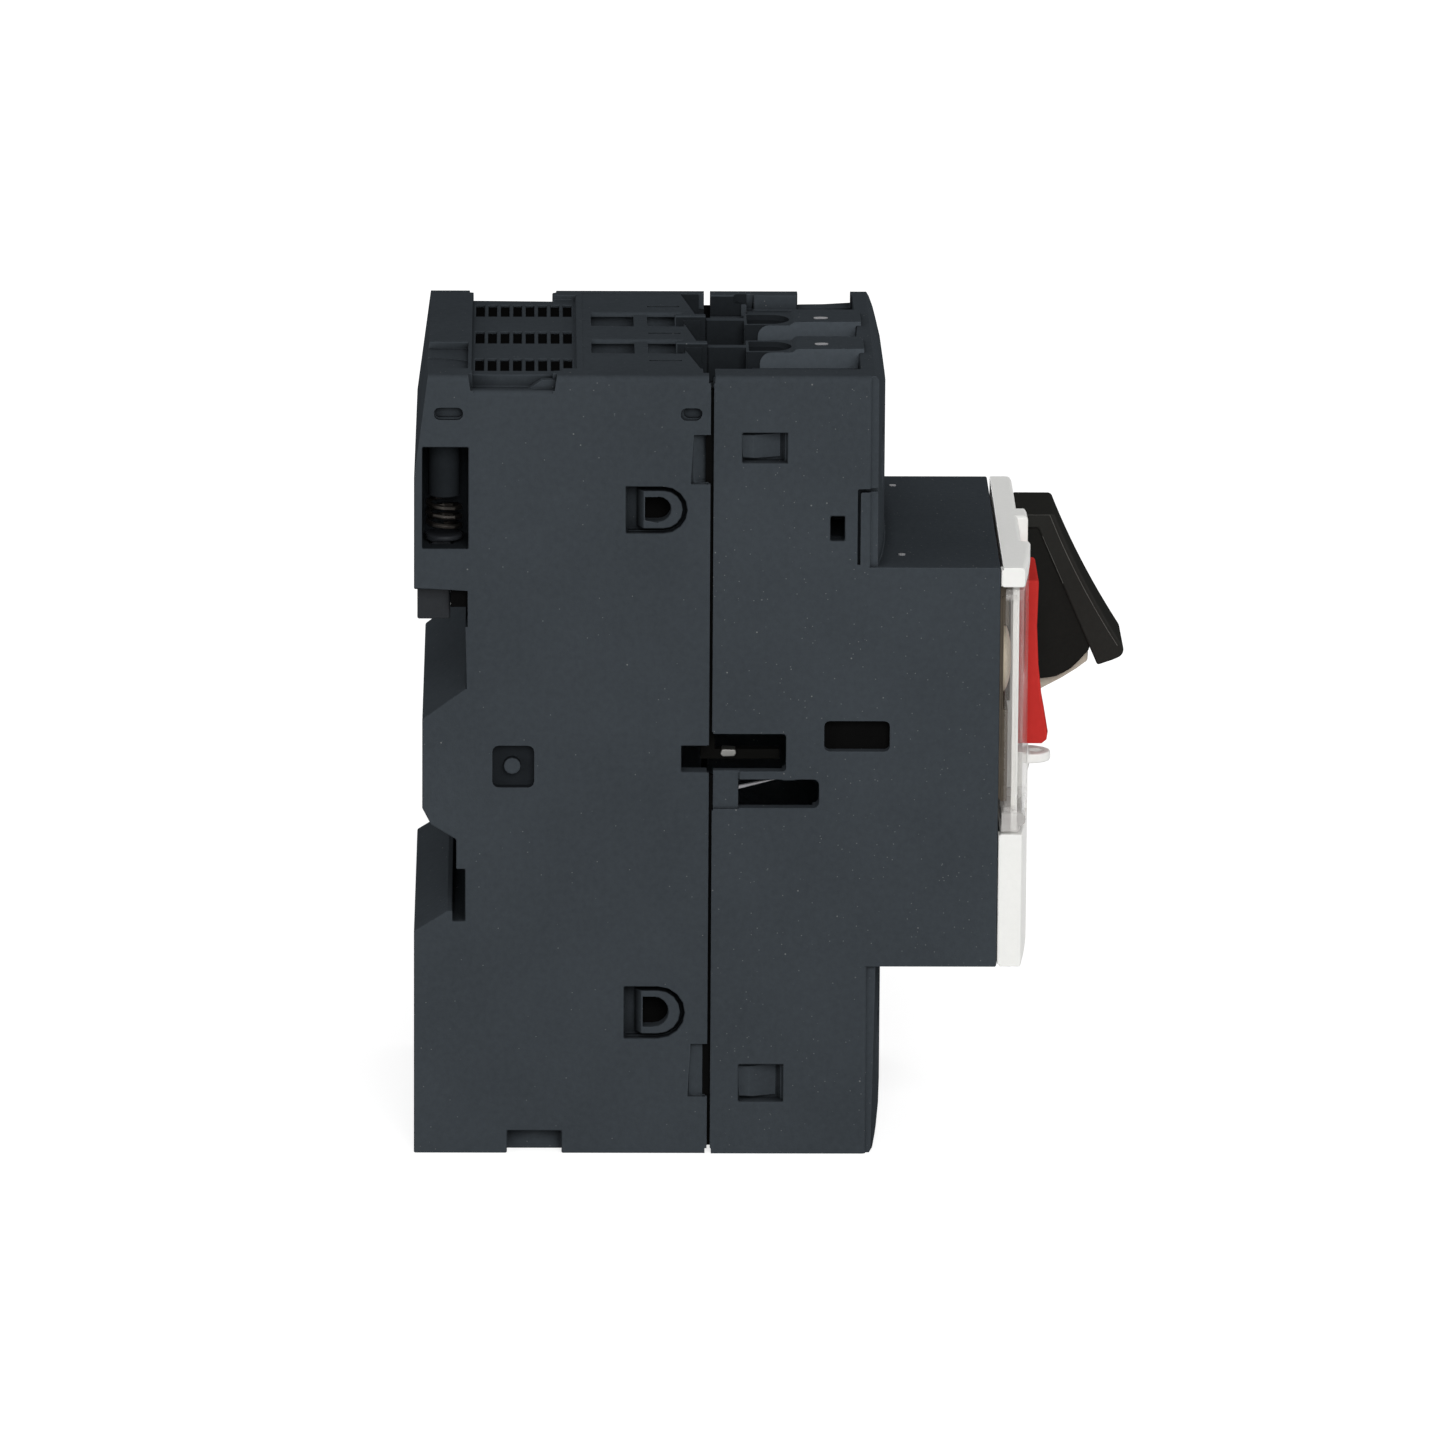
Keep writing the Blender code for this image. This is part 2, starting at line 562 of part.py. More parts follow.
# Paddles on one steel shaft: the red one stops, the black one on its cream lever starts
HUB = 2.3
LINK_X = (-5.0, -3.0)
LINK_Z = (RAIL_MID - 0.3, RAIL_MID + 1.7)
STOP_ARM_X = (LINK_X[0] - 0.5, LINK_X[1] + 0.5)
STOP_ARM_DEPTH = (SHAFT[0] - 3.0, SHAFT[0] - 1.0)


def from_shaft(points):
    """Outline in (depth, z) given from the paddle shaft."""
    return [(SHAFT[0] + depth, SHAFT[1] + rise) for depth, rise in points]


stop_outline = [
    (8.7, 1.2),
    (8.55, -4.0),
    (8.75, -8.5),
    (9.2, -12.5),
    (9.9, -16.2),
    (9.75, -17.1),
    (9.2, -17.55),
    (6.0, -17.55),
    (5.0, -2.9),
    (1.9, -2.1),
]
stop_outline += arc((0.0, 0.0), HUB, 250, 60, 8) + [(2.4, 1.2)]
stop = slab(from_shaft(stop_outline), STOP_X)
weld(stop, block(STOP_ARM_X, STOP_ARM_DEPTH, (LINK_Z[0], SHAFT[1])))
carve(stop, rod("x", SHAFT_RADIUS + SHAFT_FIT, (STOP_X[0] - OVER, STOP_X[1] + OVER), SHAFT, 16))
finish("stop_paddle", stop, RED, 0.35, axis=place(0, *SHAFT))


def lean(share):
    """Depth from the shaft, from the paddle's top edge (0) to its lower tip (1)."""
    return PADDLE_TOP + share * (PADDLE_REACH - PADDLE_TOP)


PADDLE_CREST = 5.05
HOOD = (7.35, 3.4)
paddle_outline = [
    (HOOD[0], PADDLE_CREST),
    (lean(0.0), PADDLE_CREST),
    (lean(0.071), 3.0),
    (lean(0.515), -4.0),
    (lean(0.917), -10.0),
    (lean(1.0), -11.3),
    (lean(0.964), -11.75),
    (lean(0.633), -12.56),
    (lean(-0.183), HOOD[1]),
    HOOD,
]
CHEEK = 1.2
CHEEK_INSET = 0.4
CHEEK_BACK = 5.4
cheek_outline = [
    (lean(-0.089), 3.7),
    (lean(0.598), -9.8),
    (lean(0.509), -10.4),
    (9.8, -14.1),
    (CHEEK_BACK, -15.3),
    (CHEEK_BACK, 2.7),
]
paddle = slab(from_shaft(paddle_outline), START_X)
near_cheek = (START_X[0] + CHEEK_INSET, START_X[0] + CHEEK_INSET + CHEEK)
far_cheek = (START_X[1] - CHEEK_INSET - CHEEK, START_X[1] - CHEEK_INSET)
weld(paddle, slab(from_shaft(cheek_outline), near_cheek), slab(from_shaft(cheek_outline), far_cheek))
finish("start_paddle", paddle, BLACK, 0.4, axis=place(0, *SHAFT))

CORE_X = (near_cheek[1] + GAP, far_cheek[0] - GAP)
CARRIER_Z = (RAIL_MID + 4.5, RAIL_MID + 8.5)
FINGER_Z = (CARRIER_Z[1] - 1.0, CARRIER_Z[1] + 2.0)
core_outline = [
    (lean(-0.243), 2.9),
    (lean(0.456), -10.8),
    (lean(0.491), -11.8),
    (10.0, -15.4),
    (5.6, -16.1),
    (4.4, -5.5),
    (1.9, -2.1),
]
core_outline += arc((0.0, 0.0), HUB, 250, 60, 8) + [(3.0, 2.4)]
START_ARM_X = (START_X[0] + 2.3, START_X[0] + 4.7)
START_ARM_DEPTH = (SHAFT[0] - 2.4, SHAFT[0] - 0.4)
lever = slab(from_shaft(core_outline), CORE_X)
weld(lever, block(START_ARM_X, START_ARM_DEPTH, (FINGER_Z[0] + 1.6, SHAFT[1])))
carve(lever, rod("x", SHAFT_RADIUS + SHAFT_FIT, (CORE_X[0] - OVER, CORE_X[1] + OVER), SHAFT, 16))
finish("start_lever", lever, CREAM, 0.45, axis=place(0, *SHAFT))

FRAME_X = (COVER_INNER - 0.9, HALF - 2.2)
FRAME_SHEET = 1.2
FRAME_DEPTH = (45.6, NOSE_WALL - 0.2)
FRAME_TOP = NOSE_INNER[1] - GAP
shaft = rod("x", SHAFT_RADIUS, (FRAME_X[0] + 0.1, FRAME_X[1] - 0.1), SHAFT, 16)
finish("paddle_shaft", smooth(shaft), STEEL, 0.3, 1.0)

# Mechanism frame: folded steel sheet with a bearing hole in each cheek
frame = block(FRAME_X, (FRAME_DEPTH[0], FRAME_DEPTH[0] + FRAME_SHEET), (NOSE_HIGH - 27.4, FRAME_TOP))
for cheek_x in ((FRAME_X[0], FRAME_X[0] + FRAME_SHEET), (FRAME_X[1] - FRAME_SHEET, FRAME_X[1])):
    weld(frame, block(cheek_x, (FRAME_DEPTH[0] + 0.5, FRAME_DEPTH[1]), (SHAFT[1] - 4.5, FRAME_TOP)))
carve(frame, rod("x", SHAFT_RADIUS + SHAFT_FIT, (FRAME_X[0] - OVER, FRAME_X[1] + OVER), SHAFT, 16))
hole_depth = (FRAME_DEPTH[0] - OVER, FRAME_DEPTH[0] + FRAME_SHEET + OVER)
carve(frame, block((LINK_X[0] - 0.5, LINK_X[1] + 0.5), hole_depth, (LINK_Z[0] - 0.5, LINK_Z[1] + 0.5)))
finger_room = (START_ARM_X[0] - 0.5, START_ARM_X[1] + 0.5)
carve(frame, block(finger_room, hole_depth, (FINGER_Z[0] - 0.5, FINGER_Z[1] + 0.5)))
finish("mechanism_frame", frame, STEEL, 0.35, 1.0)

TORSION_X = (STOP_X[1] + GAP, CORE_X[0] - GAP)
spring = coil("x", SHAFT, TORSION_X, SHAFT_RADIUS + 0.7, 0.35, 4)
finish("torsion_spring", smooth(spring), STEEL, 0.3, 1.0)

# Contact carrier with the finger that the start lever pushes, and the side drive it carries
BRIDGE_DEPTH = (25.1, 26.3)
CONTACT_PLAY = 3.0
CARRIER_THICK = 2.2
CARRIER_DEPTH = (BRIDGE_DEPTH[1] + CONTACT_PLAY, BRIDGE_DEPTH[1] + CONTACT_PLAY + CARRIER_THICK)
CARRIER_HALF = HALF - 2.9
FINGER_END = START_ARM_DEPTH[0] - 0.4
AUX_X = (2.6 - HALF, 4.0 - HALF)
AUX_END = 40.6
AUX_Z = (RAIL_MID + 0.4, RAIL_MID + 1.5)
carrier = block(about(0, CARRIER_HALF), CARRIER_DEPTH, CARRIER_Z)
weld(carrier, block(START_ARM_X, (CARRIER_DEPTH[0] + 0.5, FINGER_END), FINGER_Z))
finish("contact_carrier", carrier, BLACK, 0.5, axis=place(0, CARRIER_DEPTH[1], CARRIER_Z[0]))

aux = block(AUX_X, (CARRIER_DEPTH[1] + GAP, AUX_END), AUX_Z)
weld(aux, block(AUX_X, (CARRIER_DEPTH[1] + GAP, CARRIER_DEPTH[1] + 1.9), (AUX_Z[0] + 0.6, CARRIER_Z[1])))
finish("aux_lever", aux, BLACK, 0.4, axis=place(AUX_X[0], CARRIER_DEPTH[1], CARRIER_Z[0]))
aux_tip = block(AUX_X, (34.0, 35.9), (AUX_Z[1] + GAP, AUX_Z[1] + 1.0))
finish("aux_tip", aux_tip, STEEL, 0.3, 1.0, axis=place(AUX_X[0], CARRIER_DEPTH[1], CARRIER_Z[0]))

# Trip bar across the poles and the link that the stop paddle pushes
BAR_HALF = HALF - 3.1
trip = block(about(0, BAR_HALF), about(TRIP_AXIS[0], 0.9), about(TRIP_AXIS[1], 1.1))
weld(trip, block((LINK_X[0] - 0.2, LINK_X[1] + 0.2), (27.2, 28.5), (TRIP_AXIS[1], LINK_Z[1] - 0.2)))
for pole in POLES:
    weld(trip, block(about(pole, 1.5), (26.9, 27.8), (TRIP_AXIS[1] - 5.1, TRIP_AXIS[1])))
finish("trip_bar", trip, BLACK, 0.5, axis=place(0, *TRIP_AXIS))
link = block(LINK_X, (28.9, STOP_ARM_DEPTH[0] - 0.4), LINK_Z)
finish("trip_link", link, CREAM, 0.5, axis=place(LINK_X[0], 28.9, LINK_Z[0]))

# Rail jaw: sprung bar behind the upper edge of the rail, with two stems that carry its springs
JAW_CEILING = LIP_Z - 2.6
SEAT_DISC = (2.1, LIP_Z + 4.9, LIP_Z + 5.5)
RAIL_SPRING_Z = (SEAT_DISC[2] + GAP, SPRING_POST[1] - GAP)
jaw = block(about(0, JAW_HALF), JAW_DEPTH, (JAW_LOW, JAW_TOP))
weld(jaw, block(about(0, JAW_TONGUE_HALF), (JAW_DEPTH[1] - 0.5, RAIL_SEAT - 0.5), (JAW_CEILING, JAW_TOP)))
for side in (-1, 1):
    stem_x = about(side * SPRING_X, STEM_HALF)
    weld(jaw, block(stem_x, (2.0, JAW_DEPTH[1]), (JAW_TOP - 0.5, SEAT_DISC[1] + 0.3)))
    weld(jaw, rod("z", SEAT_DISC[0], SEAT_DISC[1:], (side * SPRING_X, SPRING_DEPTH), 16))
finish("rail_jaw", jaw, SLATE, 0.5, axis=place(0, JAW_DEPTH[1], JAW_TOP))
for name, side in (("rail_spring_left", -1), ("rail_spring_right", 1)):
    spring = coil("z", (side * SPRING_X, SPRING_DEPTH), RAIL_SPRING_Z, 1.85, 0.28, 3)
    finish(name, smooth(spring), STEEL, 0.35, 1.0, axis=place(side * SPRING_X, SPRING_DEPTH, RAIL_SPRING_Z[1]))

# Terminals: a folded copper bar with a pressure plate and a screw, above and below each pole
BAR_X = WIRE_HALF - 1.0
BAR_SHEET = 1.2
BAR_BACK = (29.4, 29.4 + BAR_SHEET)
BAR_FRONT = (40.0, 40.0 + BAR_SHEET)
BAR_Z = (HEIGHT - 26.2, HEIGHT - 4.4)
BAR_FLOOR = (COMPARTMENT_Z[0] + 0.8, COMPARTMENT_Z[0] + 0.8 + BAR_SHEET)
CONTACT_STRIP = (19.0, 20.2)
STRIP_HALF = 2.3
PAD_Z = BAR_Z[0] - 5.8
PAD_DEPTH = (19.7, 21.2)
PLATE_SPAN = (36.0, 37.2)
PLATE_Z = (BAR_FLOOR[1] + 1.0, BAR_Z[1] - 0.4)
HEAD_RADIUS = 3.1
HEAD_DEPTH = (46.0, 48.6)
DRIVE_DEEP = 1.2
RECESS_HALF = (2.2, 0.55)


def terminal_bar(pole, turn):
    """Bar folded round the wire space, open where the wire enters."""
    bar = block(about(pole, BAR_X), BAR_BACK, turn(BAR_Z))
    weld(bar, block(about(pole, BAR_X), (BAR_BACK[0] + 0.4, BAR_FRONT[1]), turn(BAR_FLOOR)))
    weld(bar, block(about(pole, BAR_X - 0.1), BAR_FRONT, turn((BAR_FLOOR[0] + 0.4, BAR_Z[1]))))
    screw_z = sum(turn((TERMINAL_Z, TERMINAL_Z))) / 2
    hole_depth = (BAR_FRONT[0] - OVER, BAR_FRONT[1] + OVER)
    carve(bar, rod("depth", SCREW_RADIUS + SCREW_FIT, hole_depth, (pole, screw_z), 16))
    return bar


def terminal_screw(pole, turn):
    """Screw whose tip bears on the pressure plate, with a crossed slot in its head."""
    screw_z = sum(turn((TERMINAL_Z, TERMINAL_Z))) / 2
    screw = rod("depth", SCREW_RADIUS, (PLATE_SPAN[1] + GAP, HEAD_DEPTH[0] + 0.5), (pole, screw_z), 16)
    weld(screw, rod("depth", HEAD_RADIUS, HEAD_DEPTH, (pole, screw_z), 20))
    recess = (HEAD_DEPTH[1] - DRIVE_DEEP, HEAD_DEPTH[1] + OVER)
    long, short = RECESS_HALF
    carve(screw, block(about(pole, long), recess, about(screw_z, short)))
    carve(screw, block(about(pole, short), recess, about(screw_z, long)))
    return screw


for number, pole in enumerate(POLES, 1):
    line = terminal_bar(pole, lambda span: span)
    shelf_depth = (CONTACT_STRIP[0], BAR_BACK[0] + 0.6)
    weld(line, block(about(pole, STRIP_HALF), shelf_depth, (BAR_Z[0] + 0.1, BAR_Z[0] + BAR_SHEET)))
    weld(line, block(about(pole, STRIP_HALF - 0.1), CONTACT_STRIP, (PAD_Z - 2.0, BAR_Z[0] + 0.7)))
    weld(line, block(about(pole, PAD_SIZE[0] / 2), PAD_DEPTH, about(PAD_Z, PAD_SIZE[1] / 2)))
    finish(f"line_terminal_{number}", line, COPPER, 0.35, 1.0)
    finish(f"load_terminal_{number}", terminal_bar(pole, flipped), COPPER, 0.35, 1.0)
    for label, turn in (("line", lambda span: span), ("load", flipped)):
        screw_z = sum(turn((TERMINAL_Z, TERMINAL_Z))) / 2
        clamp = block(about(pole, BAR_X - 0.2), PLATE_SPAN, turn(PLATE_Z))
        finish(f"{label}_clamp_{number}", clamp, STEEL, 0.35, 1.0, axis=place(pole, PLATE_SPAN[1], screw_z))
        screw = smooth(terminal_screw(pole, turn))
        finish(f"{label}_screw_{number}", screw, STEEL, 0.3, 1.0, axis=place(pole, HEAD_DEPTH[0], screw_z))

# Switching and tripping pieces of each pole
BRIDGE_HALF = 1.6
LOWER_PAD_Z = RAIL_MID + 0.5
BRIDGE_Z = (LOWER_PAD_Z - 2.5, PAD_Z + 3.0)
BRIDGE_PAD = (24.5, 25.5)
CHUTE_Z = (HEIGHT - 22.5, HEIGHT - 4.5)
CHUTE_DEPTH = (7.9, 18.3)
CHUTE_BOARD = (CHAMBER_HALF - 1.2, CHAMBER_HALF - 0.6)
CHUTE_SHEET = 0.5
COIL_RADIUS = CHAMBER_HALF - GAP
COIL_CENTRE = SHELL_BACK + GAP + COIL_RADIUS
COIL_BORE = 2.0
COIL_Z = (14.0, 33.0)
BIMETAL_DEPTH = (24.6, 25.4)
BIMETAL_Z = (13.0, TRIP_AXIS[1] - 2.6)
for number, pole in enumerate(POLES, 1):
    bridge = block(about(pole, BRIDGE_HALF), BRIDGE_DEPTH, BRIDGE_Z)
    for pad_z in (PAD_Z, LOWER_PAD_Z):
        weld(bridge, block(about(pole, PAD_SIZE[0] / 2), BRIDGE_PAD, about(pad_z, PAD_SIZE[1] / 2)))
    bridge_axis = place(pole, BRIDGE_DEPTH[1], CARRIER_Z[0])
    finish(f"moving_contact_{number}", bridge, COPPER, 0.3, 1.0, axis=bridge_axis)
    spring_depth = (BRIDGE_DEPTH[1] + GAP, CARRIER_DEPTH[0] - GAP)
    spring = coil("depth", (pole, sum(CARRIER_Z) / 2), spring_depth, 1.5, 0.2, 2)
    spring_axis = place(pole, CARRIER_DEPTH[0], CARRIER_Z[0])
    finish(f"contact_spring_{number}", smooth(spring), STEEL, 0.3, 1.0, axis=spring_axis)

    chute = block((pole + CHUTE_BOARD[0], pole + CHUTE_BOARD[1]), CHUTE_DEPTH, CHUTE_Z)
    for i in range(VENT_COUNT):
        start = CHUTE_DEPTH[0] + 0.1 + VENT_PITCH * i
        sheet_z = (CHUTE_Z[0] + 0.1, CHUTE_Z[1] - 0.1)
        sheet_x = (pole - CHUTE_BOARD[0], pole + CHUTE_BOARD[0] + 0.3)
        weld(chute, block(sheet_x, (start, start + CHUTE_SHEET), sheet_z))
    finish(f"arc_chute_{number}", chute, STEEL, 0.5, 0.8)

    winding = rod("z", COIL_RADIUS, COIL_Z, (pole, COIL_CENTRE), 20)
    weld(winding, block(about(pole, 2.0), (17.6, 19.8), (28.0, LOWER_PAD_Z + 3.0)))
    pad_z = about(LOWER_PAD_Z, PAD_SIZE[1] / 2)
    weld(winding, block(about(pole, PAD_SIZE[0] / 2), (19.5, PAD_DEPTH[1]), pad_z))
    carve(winding, rod("z", COIL_BORE, (COIL_Z[0] - OVER, COIL_Z[1] + OVER), (pole, COIL_CENTRE), 12))
    finish(f"trip_coil_{number}", smooth(winding), COPPER, 0.4, 1.0)

    bimetal = block(about(pole, 2.4), BIMETAL_DEPTH, BIMETAL_Z)
    foot_depth = (BIMETAL_DEPTH[1] - 0.4, BAR_BACK[0] - GAP)
    foot = block(about(pole, 2.3), foot_depth, (BIMETAL_Z[0], BIMETAL_Z[0] + 2.0))
    weld(bimetal, foot)
    finish(f"bimetal_{number}", bimetal, STEEL, 0.4, 1.0)
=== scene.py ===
"""Looks of a rail-mounted motor starter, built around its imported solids."""
from math import cos, radians, sin

import bmesh
import bpy
from mathutils import Matrix, Vector


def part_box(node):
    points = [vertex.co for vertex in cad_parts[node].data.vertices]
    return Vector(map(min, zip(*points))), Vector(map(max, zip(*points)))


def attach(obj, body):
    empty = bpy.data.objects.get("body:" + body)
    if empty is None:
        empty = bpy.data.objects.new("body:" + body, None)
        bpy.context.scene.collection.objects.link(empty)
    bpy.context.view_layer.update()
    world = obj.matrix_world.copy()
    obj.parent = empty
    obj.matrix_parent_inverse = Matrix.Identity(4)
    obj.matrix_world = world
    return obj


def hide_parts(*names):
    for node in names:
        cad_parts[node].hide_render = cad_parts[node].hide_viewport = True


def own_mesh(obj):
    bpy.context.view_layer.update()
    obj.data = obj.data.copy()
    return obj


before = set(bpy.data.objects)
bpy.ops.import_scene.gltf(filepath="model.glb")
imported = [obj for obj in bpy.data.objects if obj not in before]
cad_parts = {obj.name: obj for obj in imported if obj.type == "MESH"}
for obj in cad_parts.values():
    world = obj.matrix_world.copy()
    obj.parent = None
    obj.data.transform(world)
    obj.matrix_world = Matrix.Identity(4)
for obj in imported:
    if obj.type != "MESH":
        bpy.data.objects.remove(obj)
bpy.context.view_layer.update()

# Rear housing
# The back half of the case is one glass-filled moulding in dark slate grey, open at its front,
# with the rail seat behind, arc vents and barrier sockets on top and hooks that snap into the front half.
MM = 0.001
BACK_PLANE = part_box("rear_housing")[1].y
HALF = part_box("rear_housing")[1].x / MM
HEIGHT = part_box("rear_housing")[1].z / MM
FRONT_BACK = (BACK_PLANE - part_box("front_housing")[1].y) / MM
PARTING_GAP = 0.7
REAR_END = FRONT_BACK - PARTING_GAP
OUTER_WALLS = 3.0
POLE_PITCH = (2 * HALF - OUTER_WALLS) / 3
POLES = (-POLE_PITCH, 0.0, POLE_PITCH)
DIVIDERS = (-POLE_PITCH / 2, POLE_PITCH / 2)
SLATE = (0.041, 0.048, 0.055)
DUST = (0.36, 0.36, 0.35)

# Cutting shapes stand out past the faces that they cut
OVER = 1.5
ABOVE = HEIGHT + OVER
OUTSIDE = -HALF - OVER


def at(x, depth, z):
    """Point from millimetres across, from the back plane towards the front, and up."""
    return Vector((x * MM, BACK_PLANE - depth * MM, z * MM))


def about(centre, half):
    """Span that lies evenly about a centre."""
    return (centre - half, centre + half)


def near_span(start, end):
    """Span across, measured inwards from the near face."""
    return (-HALF + start, -HALF + end)


def link(name, data):
    """New object of a mesh, a light or a camera, in the scene."""
    piece = bpy.data.objects.new(name, data)
    bpy.context.scene.collection.objects.link(piece)
    return piece


def made(net, name):
    """New object from a working mesh, which goes afterwards."""
    mesh = bpy.data.meshes.new(name)
    net.to_mesh(mesh)
    net.free()
    return link(name, mesh)


def prism(outline, span, axis="x"):
    """Straight bar of an outline: (depth, z) along x, (x, depth) along z or (x, z) along the depth."""
    places = {
        "x": lambda a, b, s: at(s, a, b),
        "z": lambda a, b, s: at(a, b, s),
        "depth": lambda a, b, s: at(a, s, b),
    }
    net = bmesh.new()
    low, high = [[net.verts.new(places[axis](a, b, s)) for a, b in outline] for s in span]
    net.faces.new(low)
    net.faces.new(high)
    for i in range(len(outline)):
        net.faces.new((low[i - 1], low[i], high[i], high[i - 1]))
    bmesh.ops.recalc_face_normals(net, faces=net.faces)
    return made(net, "shape")


def brick(x, depth, z):
    """Square block between spans across, in depth and in height."""
    return prism([(depth[0], z[0]), (depth[1], z[0]), (depth[1], z[1]), (depth[0], z[1])], x)


def arc(centre, radius, start, end, steps=6):
    """Points of an arc, with its angles in degrees."""
    turns = [radians(start + (end - start) * i / steps) for i in range(steps + 1)]
    return [(centre[0] + radius * cos(t), centre[1] + radius * sin(t)) for t in turns]


def edge_cutter(corner, out, radius, span, axis):
    """What lies outside a rounded edge: corner of the section, signs of the way out, and radius."""
    a, b = corner
    middle = (a - out[0] * radius, b - out[1] * radius)
    curve = [(middle[0] + out[0] * radius * sin(t), middle[1] + out[1] * radius * cos(t))
             for t in [radians(15 * i) for i in range(7)]]
    beyond = [(a + out[0], curve[-1][1]), (a + out[0], b + out[1]), (curve[0][0], b + out[1])]
    return prism(curve + beyond, span, axis)


def combine(piece, operation, tools):
    """Boolean of a piece with working shapes, which go afterwards."""
    for tool in tools:
        step = piece.modifiers.new(operation, "BOOLEAN")
        step.operation = operation
        step.solver = "EXACT"
        step.object = tool
    graph = bpy.context.evaluated_depsgraph_get()
    result = bpy.data.meshes.new_from_object(piece.evaluated_get(graph))
    piece.modifiers.clear()
    piece.data = result
    for tool in tools:
        bpy.data.objects.remove(tool)


def cut(piece, *tools):
    """Takes working shapes out of a piece."""
    combine(piece, "DIFFERENCE", tools)


def join(piece, *tools):
    """Adds working shapes to a piece."""
    combine(piece, "UNION", tools)


def whole_faces(mesh, same_spot=2e-6, flat=0.8):
    """Working mesh with each flat face in one, within a distance in metres and a turn in degrees."""
    net = bmesh.new()
    net.from_mesh(mesh)
    bmesh.ops.remove_doubles(net, verts=net.verts, dist=same_spot)
    bmesh.ops.dissolve_limit(net, angle_limit=radians(flat), verts=net.verts, edges=net.edges)
    return net


def solid_of(node, name):
    """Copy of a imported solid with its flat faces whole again."""
    return made(whole_faces(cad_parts[node].data, same_spot=1e-6, flat=0.5), name)


LEAST_FOLD = 0.01 * MM * MM


def folded(net):
    """Faces whose outline crosses itself, so that part of their triangles turn over."""
    over = {}
    for corners in net.calc_loop_triangles():
        a, b, c = [loop.vert.co for loop in corners]
        turn = (b - a).cross(c - a).dot(corners[0].face.normal)
        if turn < 0:
            over[corners[0].face] = over.get(corners[0].face, 0.0) - turn / 2
    return [face for face, area in over.items() if area > LEAST_FOLD]


SHARP = radians(35)
ROOM = 2.6
ATTEMPTS = 5


def soften(piece, width, steps=2):
    """Rounds the sharp edges that have room for it, and shades the piece smooth between the rest."""
    room = ROOM * width * MM
    spared = set()
    for attempt in range(ATTEMPTS):
        net = whole_faces(piece.data)
        source = net.faces.layers.int.new("source")
        for face in net.faces:
            face[source] = face.index
            face.smooth = False
        chosen = []
        for edge in net.edges:
            if len(edge.link_faces) != 2 or edge.calc_face_angle() < SHARP:
                continue
            if any(face.index in spared for face in edge.link_faces):
                continue
            if min(e.calc_length() for v in edge.verts for e in v.link_edges) > room:
                chosen.append(edge)
        strips = bmesh.ops.bevel(net, geom=chosen, offset=width * MM, offset_type="OFFSET", segments=steps,
                                 profile=0.5, affect="EDGES", clamp_overlap=False)
        for face in strips["faces"]:
            face.smooth = True
        wrong = {face[source] for face in folded(net)}
        if not wrong - spared:
            break
        spared |= wrong
    net.to_mesh(piece.data)
    net.free()
    shade(piece)


STRIP_LIMIT = cos(radians(55))
FLAT_LIMIT = cos(radians(31))


def shade(piece):
    """Shading that keeps flat faces flat and lets the narrow rounded strips turn between them."""
    mesh = piece.data
    around = [[] for corner in mesh.vertices]
    for face in mesh.polygons:
        for corner in face.vertices:
            around[corner].append(face)
    normals = []
    for face in mesh.polygons:
        limit = STRIP_LIMIT if face.use_smooth else FLAT_LIMIT
        for corner in face.vertices:
            alike = [other for other in around[corner] if other.normal.dot(face.normal) > limit]
            normals.append(sum((other.area * other.normal for other in alike), Vector()).normalized())
    mesh.shade_smooth()
    mesh.normals_split_custom_set(normals)


def seat(piece, body, slot, material, *nodes):
    """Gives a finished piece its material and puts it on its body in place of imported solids."""
    piece.data.materials.clear()
    piece.data.materials.append(material)
    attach(piece, body)
    if nodes:
        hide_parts(*nodes)


def repaint_faces(piece, material, pick):
    """Gives another material to the faces whose middle lies where pick(x, depth, z) says, in millimetres."""
    piece.data.materials.append(material)
    for face in piece.data.polygons:
        spot = face.center
        if pick(spot.x / MM, (BACK_PLANE - spot.y) / MM, spot.z / MM):
            face.material_index = len(piece.data.materials) - 1


def node_net(name):
    """New material with its shader, its object coordinates and a maker of further nodes."""
    material = bpy.data.materials.new(name)
    material.use_nodes = True
    tree = material.node_tree
    tree.nodes.clear()
    shader = tree.nodes.new("ShaderNodeBsdfPrincipled")
    output = tree.nodes.new("ShaderNodeOutputMaterial")
    tree.links.new(shader.outputs["BSDF"], output.inputs["Surface"])
    where = tree.nodes.new("ShaderNodeTexCoord").outputs["Object"]

    def add(kind, inputs=None, **settings):
        """First output of a new node, whose inputs are sockets or values."""
        node = tree.nodes.new(kind)
        for key, value in settings.items():
            setattr(node, key, value)
        for key, value in (inputs or {}).items():
            if isinstance(value, bpy.types.NodeSocket):
                tree.links.new(value, node.inputs[key])
            else:
                node.inputs[key].default_value = value
        return node.outputs[0]

    def blend(factor, first, second):
        """Mix of two colours, each a socket or three numbers."""
        node = tree.nodes.new("ShaderNodeMix")
        node.data_type = "RGBA"
        tree.links.new(factor, node.inputs[0])
        for socket, value in ((node.inputs[6], first), (node.inputs[7], second)):
            if isinstance(value, bpy.types.NodeSocket):
                tree.links.new(value, socket)
            else:
                socket.default_value = (*value, 1)
        return node.outputs[2]

    def drive(key, value):
        """Leads a socket into the shader."""
        tree.links.new(value, shader.inputs[key])

    return material, shader, where, add, blend, drive


def scaled(colour, share):
    """Colour made lighter or darker."""
    return tuple(min(1.0, c * share) for c in colour)


def noise(add, where, scale, rough, detail=3.0):
    """Random tone: waves per metre, share of each finer wave, and how many finer waves there are."""
    return add("ShaderNodeTexNoise", {"Vector": where, "Scale": scale, "Detail": detail, "Roughness": rough})


